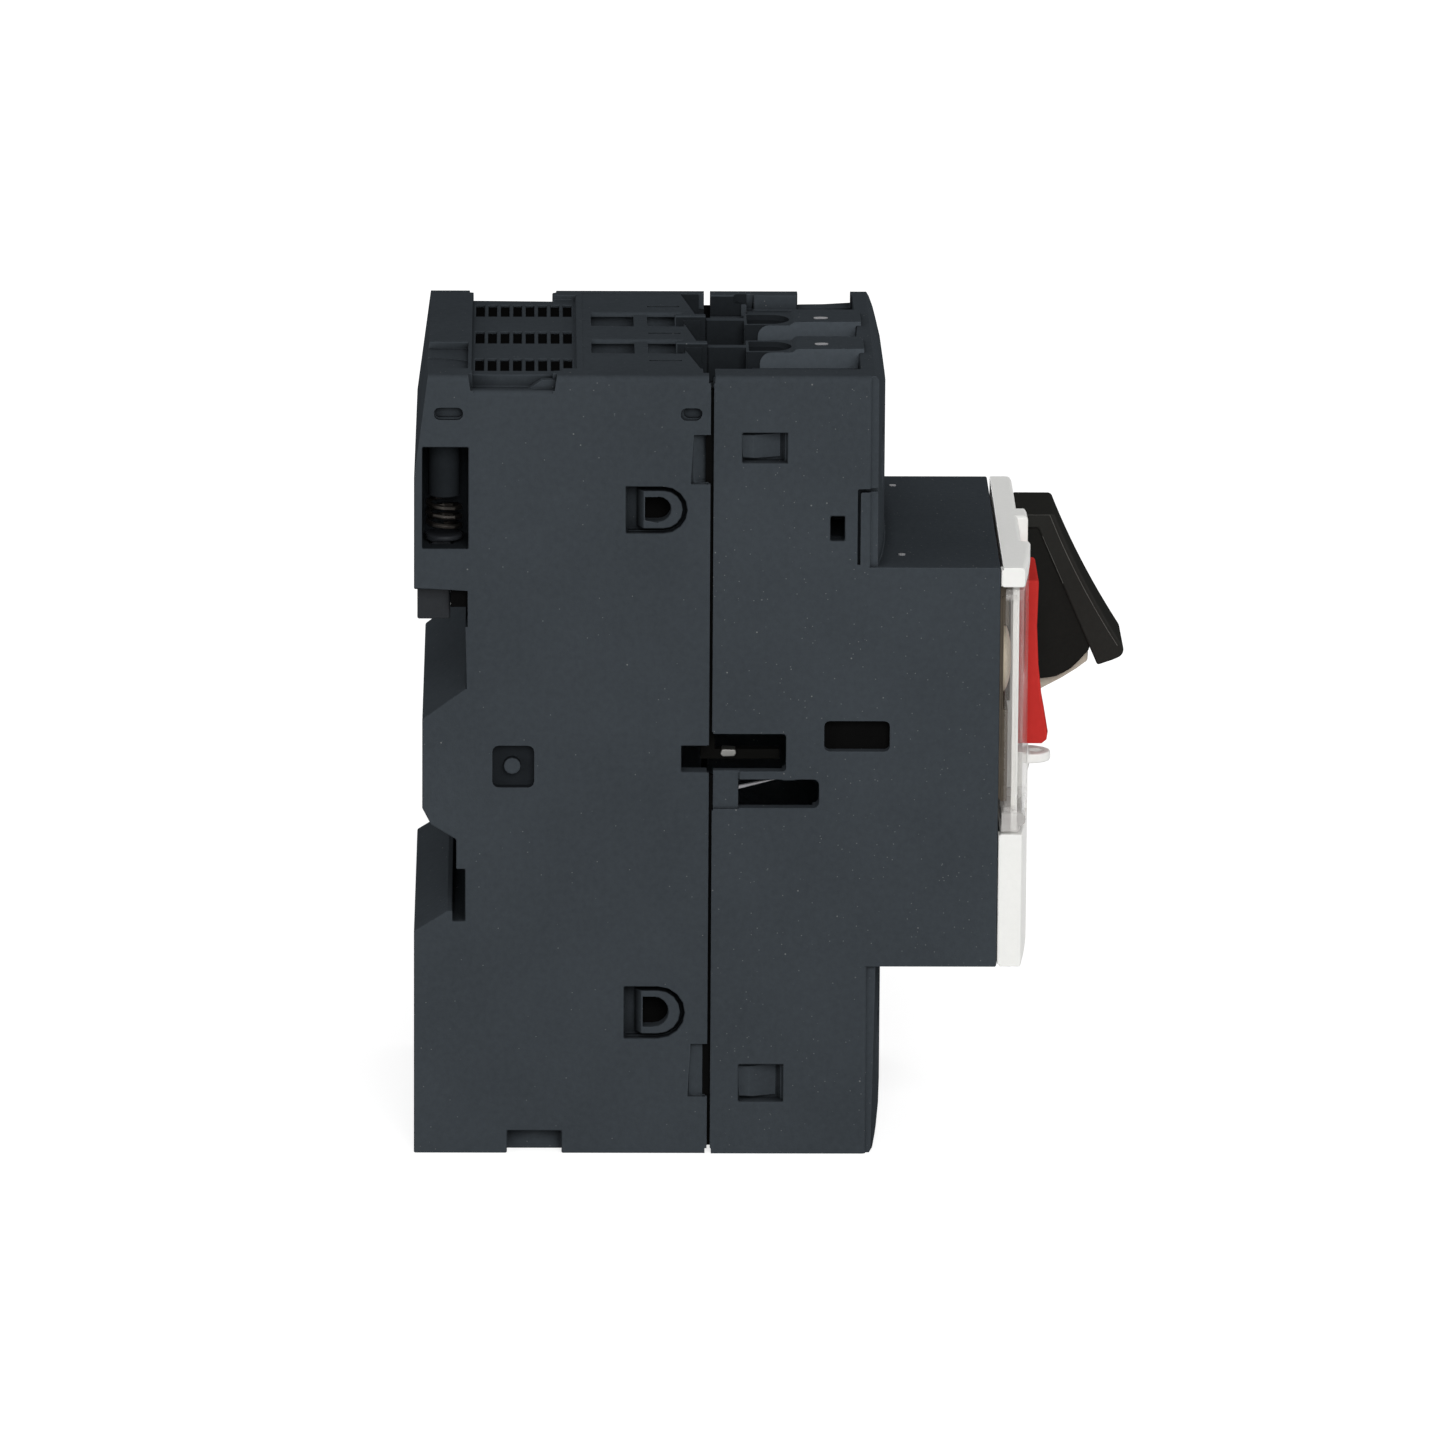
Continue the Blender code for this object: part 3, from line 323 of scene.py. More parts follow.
def ranged(add, value, start, end, low=0.0, high=1.0):
    """Value that runs from low to high while another runs from start to end, and stays there beyond."""
    ends = {"From Min": start, "From Max": end, "To Min": low, "To Max": high}
    return add("ShaderNodeMapRange", {"Value": value, **ends})


def worked(add, operation, *values):
    """Product, sum or the like of sockets and numbers."""
    return add("ShaderNodeMath", dict(enumerate(values)), operation=operation)


CELL_SHIFT = (0.37, 0.53, 0.71)


def specks(add, where, scale, size, share):
    """Mask of small scattered spots: cells per metre, spot radius in cells and share of cells used."""
    near = add("ShaderNodeTexVoronoi", {"Vector": where, "Scale": scale})
    spot = ranged(add, near, size, size * 0.5)
    moved = add("ShaderNodeVectorMath", {0: near.node.outputs["Position"], 1: CELL_SHIFT}, operation="ADD")
    cell = add("ShaderNodeTexWhiteNoise", {"Vector": moved})
    used = worked(add, "LESS_THAN", cell, share)
    return worked(add, "MULTIPLY", spot, used)


EDGE_RADIUS = 0.12
EDGE_PALE = 3.0
RECESS_REACH = 3.0
RECESS_DARK = 0.1
GLOSS_SHIFT = 0.06
PIT_DEPTH = 0.04

# Coarse and fine dust: cells per metre, spot radius in cells, share of cells used and strength
DUST_GRADES = ((1000.0, 0.11, 0.08, 0.32), (2400.0, 0.18, 0.12, 0.25))


def moulded(name, colour, rough, shine=0.3, grain=0.35, mottle=0.10, dust=0.0, rim=0.0, recess_shade=0.0):
    """Moulded plastic: eroded grain, slow tone shifts, edges paled by wear and painted highlight, painted
    shade in recesses, dust specks.
    """
    material, shader, where, add, blend, drive = node_net(name)
    cloud = noise(add, where, 60.0, 0.55)
    fleck = noise(add, where, 1500.0, 0.7)
    tone = worked(add, "MULTIPLY", cloud, 0.5)
    tone = worked(add, "MULTIPLY_ADD", fleck, 0.5, tone)
    shift = ranged(add, tone, 0.34, 0.66)
    paint = blend(shift, scaled(colour, 1 - mottle), scaled(colour, 1 + mottle))
    # Paler edges: partly wear, partly a painted highlight where edges would catch the light
    rounded = add("ShaderNodeBevel", {"Radius": EDGE_RADIUS * MM}, samples=4)
    face = add("ShaderNodeNewGeometry").node.outputs["Normal"]
    turn = add("ShaderNodeVectorMath", {0: rounded, 1: face}, operation="DOT_PRODUCT").node.outputs["Value"]
    edge = ranged(add, turn, 0.99, 0.80, 0.0, rim)
    wear_and_glint = worked(add, "MULTIPLY", edge, cloud)
    paint = blend(wear_and_glint, paint, scaled(colour, EDGE_PALE))
    # Painted shade: the colour darkens in recesses where the occlusion test finds little open space
    if recess_shade:
        reach = {"Distance": RECESS_REACH * MM}
        open_share = add("ShaderNodeAmbientOcclusion", reach, samples=8, only_local=True).node.outputs["AO"]
        unshaded = ranged(add, open_share, 0.25, 0.75, 1 - recess_shade, 1.0)
        paint = blend(unshaded, scaled(colour, RECESS_DARK), paint)
    if dust:
        for scale, size, share, strength in DUST_GRADES:
            spots = specks(add, where, scale, size, share * dust)
            paint = blend(worked(add, "MULTIPLY", spots, strength), paint, DUST)
    drive("Base Color", paint)
    drive("Roughness", ranged(add, cloud, 0.3, 0.7, rough - GLOSS_SHIFT, rough + GLOSS_SHIFT))
    pits = noise(add, where, 4200.0, 0.6, detail=2.0)
    relief = {"Height": pits, "Strength": grain, "Distance": PIT_DEPTH * MM, "Normal": rounded}
    drive("Normal", add("ShaderNodeBump", relief))
    shader.inputs["Specular IOR Level"].default_value = shine
    return material


# The slate carries painted shade in its recesses and paler edges that are partly painted highlight
slate = moulded("slate moulding", SLATE, 0.6, shine=0.0, dust=0.25, rim=0.5, recess_shade=0.85)

rear = solid_of("rear_housing", "rear_case")

# Raised floor between the dividers, with a thin lip round each barrier socket over the dark chamber
ROOF = HEIGHT - 0.05
FLOOR_FOOT = HEIGHT - 2.3
FLOOR_HALF = 6.7
FLOOR_START = 18.4
LIP = 0.5
SOCKET_HALF = 3.5
SOCKET_DEPTHS = ((19.6, 24.4), (25.9, 30.0))
SOCKET_ROW = (SOCKET_DEPTHS[0][0], SOCKET_DEPTHS[1][1])
CHAMBER_HALF = SOCKET_HALF + 1.3
CHAMBER_ROW = (19.2, 30.2)
FUNNEL_END = 31.9
NEAR_WALL = HALF - 4.1
NEAR_WALL_START = 16.2
for pole in POLES:
    join(rear, brick(about(pole, FLOOR_HALF), (FLOOR_START, FUNNEL_END), (FLOOR_FOOT, ROOF)))
join(rear, brick((-HALF + 0.4, -NEAR_WALL), (NEAR_WALL_START, FUNNEL_END), (FLOOR_FOOT, HEIGHT)))
for middle in DIVIDERS:
    across = about(middle, SOCKET_HALF)
    cut(rear, brick(about(middle, CHAMBER_HALF), CHAMBER_ROW, (HEIGHT - 8.0, ROOF - LIP)))
    cut(rear, *[brick(across, depth, (HEIGHT - 9.0, ABOVE)) for depth in SOCKET_DEPTHS])
    cut(rear, edge_cutter((across[1], ROOF), (-1, 1), LIP - 0.05, SOCKET_ROW, "depth"))

# Slanting wire funnel and small slit at each pole, and a thin wall between the poles
WELL_HALF = 6.3
WELL_FOOT = HEIGHT - 6.0
WELL_FRONT = 34.0
POLE_WALL_FOOT = HEIGHT - 4.0
for pole in POLES:
    near_end = max(pole - WELL_HALF, -NEAR_WALL)
    far_end = pole + WELL_HALF
    funnel = [(near_end, 31.65), (far_end, 29.85), (far_end, WELL_FRONT), (near_end, WELL_FRONT)]
    cut(rear, prism(funnel, (WELL_FOOT, ABOVE), "z"))
    cut(rear, brick((pole - 0.5, pole + 0.2), (26.0, 29.6), (ROOF - 0.3, ABOVE)))
pole_wall = ((29.0, REAR_END), (POLE_WALL_FOOT, HEIGHT + 0.5))
join(rear, *[brick(about(middle, 0.6), *pole_wall) for middle in DIVIDERS])

# Stepped back strip behind the vents, and the small gusset that stiffens the notch in the near wall
STRIP_BACK = 0.8
STRIP_FRONT = 5.9
STRIP_NEAR = -NEAR_WALL - 0.1
cut(rear, brick((-NEAR_WALL, -5.1), (STRIP_BACK, STRIP_FRONT), (HEIGHT - 0.85, ABOVE)))
step_curve = [(STRIP_NEAR, STRIP_BACK), (-9.3, STRIP_BACK), (-9.3, 2.4), (-10.0, 4.2)]
step_curve += [(-11.2, STRIP_FRONT), (STRIP_NEAR, STRIP_FRONT)]
cut(rear, prism(step_curve, (HEIGHT - 1.05, ABOVE), "z"))
GUSSET_TOP = HEIGHT - 0.72
GUSSET_FOOT = HEIGHT - 2.4
gusset = [(12.1, HEIGHT - 2.1), (14.1, GUSSET_TOP), (NEAR_WALL_START, GUSSET_TOP)]
gusset += [(NEAR_WALL_START, GUSSET_FOOT), (12.1, GUSSET_FOOT)]
join(rear, prism(gusset, near_span(1.2, 2.4)))

# Rounded upper edges of both side walls, and of the floor of each wall's notch
TOP_ROUND = 0.7
NOTCH_FLOOR = HEIGHT - 1.7
NOTCH_ROUND = 0.6
NOTCH = (6.5, 15.3)
for side in (-1, 1):
    cut(rear, edge_cutter((side * HALF, HEIGHT), (side, 1), TOP_ROUND, (-OVER, REAR_END + OVER), "depth"))
    cut(rear, edge_cutter((side * HALF, NOTCH_FLOOR), (side, 1), NOTCH_ROUND, NOTCH, "depth"))


def window(depth, z):
    """Outline of a D-shaped window, flat towards the back and round towards the front."""
    radius = (z[1] - z[0]) / 2
    bow = arc((depth[1] - radius, z[0] + radius), radius, -90, 90, 12)
    return [(depth[0], z[0])] + bow + [(depth[0], z[1])]


# Deep groove round the boss in each D window, with a ramp down to its flat end
RAMP_START = 24.6
RAMP_END = 25.4
for low, high in ((HEIGHT - 17.8, HEIGHT - 12.5), (13.3, 19.3)):
    groove = prism(window((23.5, 30.1), (low + 0.1, high - 0.1)), near_span(1.0, 2.0))
    cut(groove, prism(window((24.7, 29.7), (low + 0.5, high - 0.5)), near_span(0.0, 3.0)))
    cut(rear, groove)
    ramp = [(OUTSIDE, RAMP_START), (-HALF + 1.6, RAMP_START), (-HALF + 0.2, RAMP_END), (OUTSIDE, RAMP_END)]
    cut(rear, prism(ramp, (low + 0.4, high - 0.4), "z"))

# Sloped finger recesses at the parting line, and strips between them that narrow the line
RECESS_START = 30.8
RECESS_END = REAR_END + 0.1
for low, high, drop in ((HEIGHT - 12.1, HEIGHT - 6.7, 1.9), (6.7, 12.6, 0.8)):
    slope = [(OUTSIDE, RECESS_START), (-HALF + 0.45, RECESS_START)]
    slope += [(-HALF + drop, RECESS_END), (OUTSIDE, RECESS_END)]
    cut(rear, prism(slope, (low, high), "z"))
LINE_SKIN = near_span(0.03, 0.6)
LINE_PARTS = ((0.6, 6.6), (12.7, 43.9), (47.1, HEIGHT - 12.2), (HEIGHT - 6.6, HEIGHT - 0.8))
join(rear, *[brick(LINE_SKIN, (REAR_END - 0.3, REAR_END + 0.22), part) for part in LINE_PARTS])

# Sloped faces of the hooks, which show in the front half's clip windows, and two oval dimples near the top
CLIP_HEIGHTS = ((HEIGHT - 9.5, HEIGHT - 6.7), (6.3, 10.0))
CLIP_START = 36.6
CLIP_END = 41.0
hook_face = [(OUTSIDE, CLIP_START), (-HALF + 0.6, CLIP_START), (-HALF + 0.7, 37.2), (-HALF + 1.9, 40.2)]
hook_face += [(-HALF + 1.9, CLIP_END), (OUTSIDE, CLIP_END)]
for height in CLIP_HEIGHTS:
    cut(rear, prism(hook_face, height, "z"))
OVAL_Z = HEIGHT - 4.2
OVAL_RADIUS = 0.6
for back_end, front_end in ((2.85, 4.8), (30.3, 31.2)):
    oval = arc((back_end, OVAL_Z), OVAL_RADIUS, 270, 90) + arc((front_end, OVAL_Z), OVAL_RADIUS, 90, -90)
    cut(rear, prism(oval, (OUTSIDE, -HALF + 0.9)))
soften(rear, 0.16)
seat(rear, "base", "housing_plastic", slate, "rear_housing")

# Painted shade: a darker copy of the slate inside the wire wells and the pockets of the side walls
shade_slate = moulded("shaded slate moulding", scaled(SLATE, 0.36), 0.6, shine=0.0)
PIN = (10.9, 44.6)
PIN_HALF = 0.95


def in_well(x, depth, z):
    """True inside the wire wells between the two halves of the case."""
    across = -NEAR_WALL - 0.05 < x < HALF - 2.0
    return across and 29.5 < depth < 36.75 and WELL_FOOT - 0.1 < z < HEIGHT - 0.4


def in_pocket(x, depth, z):
    """True inside the spring pockets and the square pockets in the side walls, but not on their pins."""
    spring = abs(x) < HALF - 0.2 and 0.8 < depth < 6.1 and 69.0 < z < 81.5
    square = HALF - 2.5 < abs(x) < HALF - 0.2 and 8.6 < depth < 13.4 and 42.1 < z < 47.1
    pin = max(abs(depth - PIN[0]), abs(z - PIN[1])) < PIN_HALF and abs(x) > HALF - 1.2
    return (spring or square) and not (square and pin)


repaint_faces(rear, shade_slate, lambda *spot: in_well(*spot) or in_pocket(*spot))

# Rail jaw and its springs
# A black moulded hook grips the upper flange of the rail, and two steel coil springs press it down.
JAW = (0.018, 0.020, 0.023)
# Its paler edges are partly a painted highlight
black_grey = moulded("black-grey moulding", JAW, 0.5, shine=0.1, rim=0.4)
jaw = solid_of("rail_jaw", "rail_hook")
soften(jaw, 0.2)
seat(jaw, "jaw", "black_plastic", black_grey, "rail_jaw")
LINES_PER_METRE = (300.0, 300.0, 3000.0)
DULLING = 0.25
LINE_DEPTH = 0.03


def metal(name, colour, rough):
    """Bare or plated metal: drawn or rolled lines, and patches of dulling."""
    material, shader, where, add, blend, drive = node_net(name)
    stretched = add("ShaderNodeVectorMath", {0: where, 1: LINES_PER_METRE}, operation="MULTIPLY")
    lines = noise(add, stretched, 1.0, 0.6)
    patch = noise(add, where, 220.0, 0.6)
    shift = ranged(add, patch, 0.35, 0.7)
    drive("Base Color", blend(shift, colour, scaled(colour, 1 - DULLING)))
    drive("Roughness", worked(add, "MULTIPLY_ADD", patch, 0.3, rough - 0.15))
    rounded = add("ShaderNodeBevel", {"Radius": 0.1 * MM}, samples=4)
    relief = {"Height": lines, "Strength": 0.25, "Distance": LINE_DEPTH * MM, "Normal": rounded}
    drive("Normal", add("ShaderNodeBump", relief))
    shader.inputs["Metallic"].default_value = 1.0
    return material


# Dark spring steel for the rail springs: partly their own dark finish, partly painted shade of their pocket
dark_and_shaded_steel = metal("dark spring steel in painted shade", (0.05, 0.046, 0.042), 0.5)
for side in ("left", "right"):
    coil = solid_of(f"rail_spring_{side}", f"rail_coil_{side}")
    shade(coil)
    seat(coil, "base", "spring_steel", dark_and_shaded_steel, f"rail_spring_{side}")
    low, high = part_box(f"rail_spring_{side}")
    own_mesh(coil)


# Contacts, coils and trip gear
# Inside each pole sit two fixed terminals, a moving bridge on its spring, an arc chute, a magnetic coil
# and a bimetal strip; a black moulded carrier and a trip bar reach across all three poles.
def dress(material, *nodes):
    """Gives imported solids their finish."""
    for node in nodes:
        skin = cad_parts[node].data
        skin.materials.clear()
        skin.materials.append(material)


BLACK = (0.0225, 0.0225, 0.0208)
CREAM = (0.46, 0.40, 0.33)
spring_steel = metal("spring steel", (0.42, 0.41, 0.40), 0.35)
plated_steel = metal("plated steel", (0.62, 0.61, 0.59), 0.35)
copper_alloy = metal("copper alloy", (0.66, 0.39, 0.24), 0.38)
# Near-black steel for the arc chutes, painted shade for the view down the vents
vent_shade_steel = metal("painted-shade dark steel", (0.05, 0.05, 0.05), 0.6)
# The black moulding's paler edges are partly a painted highlight
black = moulded("black moulding", BLACK, 0.5, shine=0.0, rim=0.8, mottle=0.08)
cream = moulded("cream moulding", CREAM, 0.45, shine=0.3, mottle=0.06)
for k in (1, 2, 3):
    dress(copper_alloy, f"line_terminal_{k}", f"load_terminal_{k}", f"moving_contact_{k}", f"trip_coil_{k}")
    dress(vent_shade_steel, f"arc_chute_{k}")
    dress(plated_steel, f"bimetal_{k}")
    dress(spring_steel, f"contact_spring_{k}")
dress(black, "contact_carrier", "trip_bar")
dress(cream, "trip_link")

# Side drive of the carrier, a lever darkened as painted shade, whose plated tip shows in the near side's
# upper slot
shadow_lever = moulded("shadowed black moulding", scaled(BLACK, 0.25), 0.5, shine=0.0, mottle=0.08)
dress(shadow_lever, "aux_lever")
silver = metal("dull silver", (0.20, 0.20, 0.19), 0.5)
tip_side = [(34.0, 45.5), (34.3, 45.2), (35.6, 45.25), (35.8, 45.6), (35.7, 46.05), (34.2, 46.1)]
tip = prism(tip_side, (-20.3, -18.5))
tip.name = "silver_tip"
soften(tip, 0.12)
seat(tip, "carrier", "plated_steel", silver, "aux_tip")

# Clamps and screws
# Each terminal has a plated steel saddle that a cross-slotted screw draws onto the conductor.
for row in ("line", "load"):
    for k in (1, 2, 3):
        dress(plated_steel, f"{row}_clamp_{k}", f"{row}_screw_{k}")

# Front housing
# The front half is a second slate moulding: two terminal blocks with screw tunnels and the wide nose
# between them, whose near side has windows for an add-on contact block.
front = solid_of("front_housing", "front_case")

# Upper terminal block: a deep wire recess at each pole between wide dividers with a barrier groove,
# and a wall between the wells, as wide as what they leave. The wall is built from the top down,
# because with its corners in that order the joined mesh has no open edges.
BLOCK_HALF = 3.2
WALL_HALF = 0.7
STEP_HALF = 2.95
STEP_DEPTH = (36.8, 39.7)
GROOVE_HALF = 2.5
GROOVE_BACK = 37.1
NOSE_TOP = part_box("front_plate")[1].z / MM
NOSE_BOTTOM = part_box("front_plate")[0].z / MM
FAR_WALL = HALF - 2.7
BLOCK_FOOT = HEIGHT - 2.4
TONGUE_TOP = HEIGHT + 0.45
TONGUE_END = 49.9
for pole in POLES:
    cut(front, brick(about(pole, 6.35), (37.3, 49.3), (HEIGHT - 1.8, ABOVE)))
    well = (max(pole - WELL_HALF, -NEAR_WALL), min(pole + WELL_HALF, FAR_WALL))
    cut(front, brick(well, (FRONT_BACK - OVER, 36.7), (HEIGHT - 3.3, ABOVE)))
tongue = [(38.3, BLOCK_FOOT)] + arc((39.6, HEIGHT - 1.3), 1.3, 180, 90, 5)
tongue += [(41.9, HEIGHT), (42.4, TONGUE_TOP), (TONGUE_END, TONGUE_TOP), (TONGUE_END, BLOCK_FOOT)]
for middle in DIVIDERS:
    join(front, prism(tongue, about(middle, BLOCK_HALF)))
    join(front, brick(about(middle, WALL_HALF), (REAR_END + 0.06, 38.6), (HEIGHT, POLE_WALL_FOOT)))
    join(front, brick(about(middle, STEP_HALF), STEP_DEPTH, (BLOCK_FOOT, HEIGHT)))
    groove = arc((middle, 39.4), GROOVE_HALF, 20, 160, 8)
    groove += [(middle - GROOVE_HALF, GROOVE_BACK), (middle + GROOVE_HALF, GROOVE_BACK)]
    cut(front, prism(groove, (HEIGHT - 0.6, ABOVE), "z"))
join(front, brick((FAR_WALL, HALF - 0.5), (38.1, 43.0), (BLOCK_FOOT, HEIGHT)))
join(front, brick((-HALF + 0.5, -NEAR_WALL), (FRONT_BACK, 49.5), (BLOCK_FOOT, HEIGHT)))

# Rounded upper edges, and inner walls behind the clip windows
for side in (-1, 1):
    cut(front, edge_cutter((side * HALF, HEIGHT), (side, 1), TOP_ROUND, (FRONT_BACK - OVER, 54.0), "depth"))
    inner = sorted((side * (HALF - 2.65), side * (HALF - 2.2)))
    inner_depth = (FRONT_BACK + 0.1, 41.6)
    join(front, *[brick(inner, inner_depth, (low - 0.4, high + 0.4)) for low, high in CLIP_HEIGHTS])

# Strips that narrow the parting line, and rounded slot corners: depth, height, way up or down and radius
for part in ((0.6, 39.6), (48.6, HEIGHT - 0.8)):
    join(front, brick(LINE_SKIN, (FRONT_BACK - 0.12, FRONT_BACK + 0.3), part))
SLOT_CORNERS = ((45.0, 43.2, 1, 0.7), (45.0, 39.9, -1, 0.7), (41.3, 48.4, 1, 0.4), (41.3, 44.1, -1, 0.4))
for depth, z, way, radius in SLOT_CORNERS:
    join(front, edge_cutter((depth, z), (1, way), radius, near_span(0.02, 2.6), "x"))


def peg(axis, radius, span, centre, sides=24):
    """Round bar along an axis, with its centre in the axis's two other measures."""
    return prism(arc(centre, radius, 0, 360 * (1 - 1 / sides), sides - 1), span, axis)


# Collars in the screw tunnels, which keep the screws from falling out
SCREW_RISE = 10.8
COLLAR = (48.8, 50.4)
COLLAR_RADIUS = 3.95
COLLAR_BORE = 2.8
for pole in POLES:
    for z in (SCREW_RISE, HEIGHT - SCREW_RISE):
        collar = peg("depth", COLLAR_RADIUS, COLLAR, (pole, z))
        cut(collar, peg("depth", COLLAR_BORE, (COLLAR[0] - OVER, COLLAR[1] + OVER), (pole, z)))
        join(front, collar)

# Front end of both terminal blocks' near side, which is set back a little behind a rounded edge
SIDE_END = 50.5
SET_BACK_END = 53.5
set_back = [(OUTSIDE, SIDE_END), (-HALF + 0.5, SIDE_END)]
set_back += [(-HALF + 0.9, SET_BACK_END), (OUTSIDE, SET_BACK_END)]
for height in ((NOSE_TOP, ABOVE), (-OVER, NOSE_BOTTOM)):
    cut(front, prism(set_back, height, "z"))
    cut(front, edge_cutter((-HALF, SIDE_END), (-1, 1), 0.45, height, "z"))
soften(front, 0.18)
# Real dust specks, with painted shade in the recesses and paler edges that are partly painted highlight
dusty_slate = moulded("dusty slate moulding", SLATE, 0.6, shine=0.0, dust=1.0, rim=0.5, recess_shade=0.85)
seat(front, "base", "housing_plastic", dusty_slate, "front_housing")
# Painted light: a paler copy of the slate for the near sides of the dividers
painted_light_slate = moulded("painted-light slate moulding", scaled(SLATE, 1.55), 0.6, shine=0.0)


def in_groove(x, depth, z):
    """True inside the barrier grooves of the dividers and on both sides of the step behind each."""
    across = min(abs(x - middle) for middle in DIVIDERS)
    groove = across < GROOVE_HALF + 0.06 and 37.0 < depth < 42.1 and HEIGHT - 0.7 < z < HEIGHT - 0.05
    step = abs(across - STEP_HALF) < 0.05 and 36.7 < depth < 39.8 and z < HEIGHT - 0.05
    return groove or step


def on_tongue(x, depth, z):
    """True on the near sides of the dividers, which get painted light."""
    near_side = any(abs(x - middle + BLOCK_HALF) < 0.1 for middle in DIVIDERS)
    return near_side and 39.0 < depth < 50.0 and z > HEIGHT - 2.5


# Painted shade in the wire wells and barrier grooves of the front half
repaint_faces(front, shade_slate, lambda *spot: in_well(*spot) or in_groove(*spot))
# Painted light on the near sides of the dividers
repaint_faces(front, painted_light_slate, on_tongue)

# Small raised pips with painted glints, on the dividers and on the ledge over the nose:
# place across and in depth, half length and the height of the face below
glint_slate = moulded("painted-glint slate moulding", (0.24, 0.24, 0.25), 0.5, shine=0.1)
PIP_HALF = 0.35
PIP_RISE = 0.1
PIPS = ((5.6, 45.4, 0.8, TONGUE_TOP), (-7.9, 45.2, 0.75, TONGUE_TOP),
        (17.5, 54.0, 0.4, NOSE_TOP), (-16.3, 54.1, 0.4, NOSE_TOP))
for number, (x, depth, half, z) in enumerate(PIPS, 1):
    turns = [radians(20 * i) for i in range(18)]
    dot = prism([(x + PIP_HALF * sin(t), depth + half * cos(t)) for t in turns], about(z, PIP_RISE), "z")
    dot.name = f"glint_pip_{number}"
    seat(dot, "base", "housing_plastic", glint_slate)

# Slanting edge inside the lower slot, painted pale with the same painted glint
wedge = prism([(36.05, 42.05), (36.05, 42.38), (40.4, 43.25), (40.4, 43.2)], near_span(0.3, 0.8))
wedge.name = "glint_slot_edge"
seat(wedge, "base", "housing_plastic", glint_slate)

# Painted shadow: near-black inner sheets that close the parting line and stand behind the windows and under
# the vents and sockets
shadow_black = moulded("painted-shadow black moulding", (0.004, 0.004, 0.004), 0.7, shine=0.0)
SEAM = (REAR_END - 0.3, FRONT_BACK + 0.3)
SEAM_NEAR = near_span(0.7, 1.5)
SEAM_ENDS = (0.8, HEIGHT - 1.6)
VENT_SHADOW_SHEET = ((6.75, 17.5), (HEIGHT - 1.3, HEIGHT - 0.9))
SOCKET_SHADOW_SHEET = ((19.3, 30.1), (HEIGHT - 3.4, HEIGHT - 3.0))
shadow_sheets = brick(SEAM_NEAR, SEAM, (SEAM_ENDS[0], 43.5))
join(shadow_sheets, brick(SEAM_NEAR, SEAM, (48.6, SEAM_ENDS[1])))
join(shadow_sheets, *[brick(about(pole, 3.05), *VENT_SHADOW_SHEET) for pole in POLES])
join(shadow_sheets, *[brick(about(middle, SOCKET_HALF + 1.2), *SOCKET_SHADOW_SHEET) for middle in DIVIDERS])
join(shadow_sheets, brick((HALF - 1.5, HALF - 0.7), SEAM, SEAM_ENDS))
join(shadow_sheets, brick(near_span(1.3, 1.7), (45.4, 52.9), (46.3, 50.0)))
join(shadow_sheets, *[brick(near_span(3.0, 3.4), (25.3, 28.6), height) for height in ((14.0, 18.7), (71.9, 75.8))])
join(shadow_sheets, brick((-21.6, -21.1), (4.05, 6.3), (62.6, 66.9)))
shadow_sheets.name = "shadow_sheets_inside"
seat(shadow_sheets, "base", "black_plastic", shadow_black)

# Mechanism
# A folded steel frame carries the paddle shaft, and a torsion spring on it pushes the stop paddle back.
dress(plated_steel, "mechanism_frame", "paddle_shaft")
dress(spring_steel, "torsion_spring")

# Front plate
# A white bezel closes the nose, bowed towards the user, with doors for both paddles and a lead-seal tab.
WHITE = (0.80, 0.80, 0.775)
white = moulded("white moulding", WHITE, 0.42, shine=0.4, mottle=0.025, grain=0.2)
COVER_EDGE = 12.1 - HALF
STOP_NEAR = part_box("stop_paddle")[0].x / MM
NOSE_FRONT = 64.95
COVER_SPAN = (NOSE_TOP - 30.5, NOSE_TOP - 2.2)
EASED = radians(25)


def ease(piece, radius, pick):
    """Rounds the sharp edges whose two ends both lie where pick(x, depth, z) says, in millimetres."""
    net = whole_faces(piece.data)
    chosen = []
    for edge in net.edges:
        if len(edge.link_faces) != 2 or edge.calc_face_angle() < EASED:
            continue
        ends = [(v.co.x / MM, (BACK_PLANE - v.co.y) / MM, v.co.z / MM) for v in edge.verts]
        if all(pick(*end) for end in ends):
            chosen.append(edge)
    bmesh.ops.bevel(net, geom=chosen, offset=radius * MM, offset_type="OFFSET", segments=4,
                    profile=0.5, affect="EDGES", clamp_overlap=True)
    net.to_mesh(piece.data)
    net.free()


# The strip between cover and stop paddle is lowered, and thin walls reach back beside and behind the cover
plate = solid_of("front_plate", "white_bezel")
cut(plate, brick((COVER_EDGE - 1.0, STOP_NEAR + 0.2), (67.25, 71.0), (37.5, COVER_SPAN[1])))
for height in ((NOSE_BOTTOM + 0.3, COVER_SPAN[0] - 0.1), (COVER_SPAN[1] + 0.1, NOSE_TOP - 0.3)):
    join(plate, brick(near_span(0.1, 2.0), (NOSE_FRONT, 66.0), height))
join(plate, brick(near_span(1.2, 1.6), (66.35, 67.05), (COVER_SPAN[0] - 0.3, COVER_SPAN[1] + 0.3)))
ease(plate, 0.7, lambda x, depth, z: z > NOSE_TOP - 0.05 and depth > 67.0)
soften(plate, 0.2)
seat(plate, "base", "white_plastic", white, "front_plate")

# Setting panel and dial
# A scale panel with a low rim, painted brown as shade, and a domed, slotted dial set the trip current behind
# the clear cover.
PANEL_SHADE_BROWN = (0.10, 0.083, 0.064)
TAN = (0.55, 0.48, 0.37)
panel_shade_brown = moulded("painted-shade brown moulding", PANEL_SHADE_BROWN, 0.5, shine=0.1, mottle=0.12)
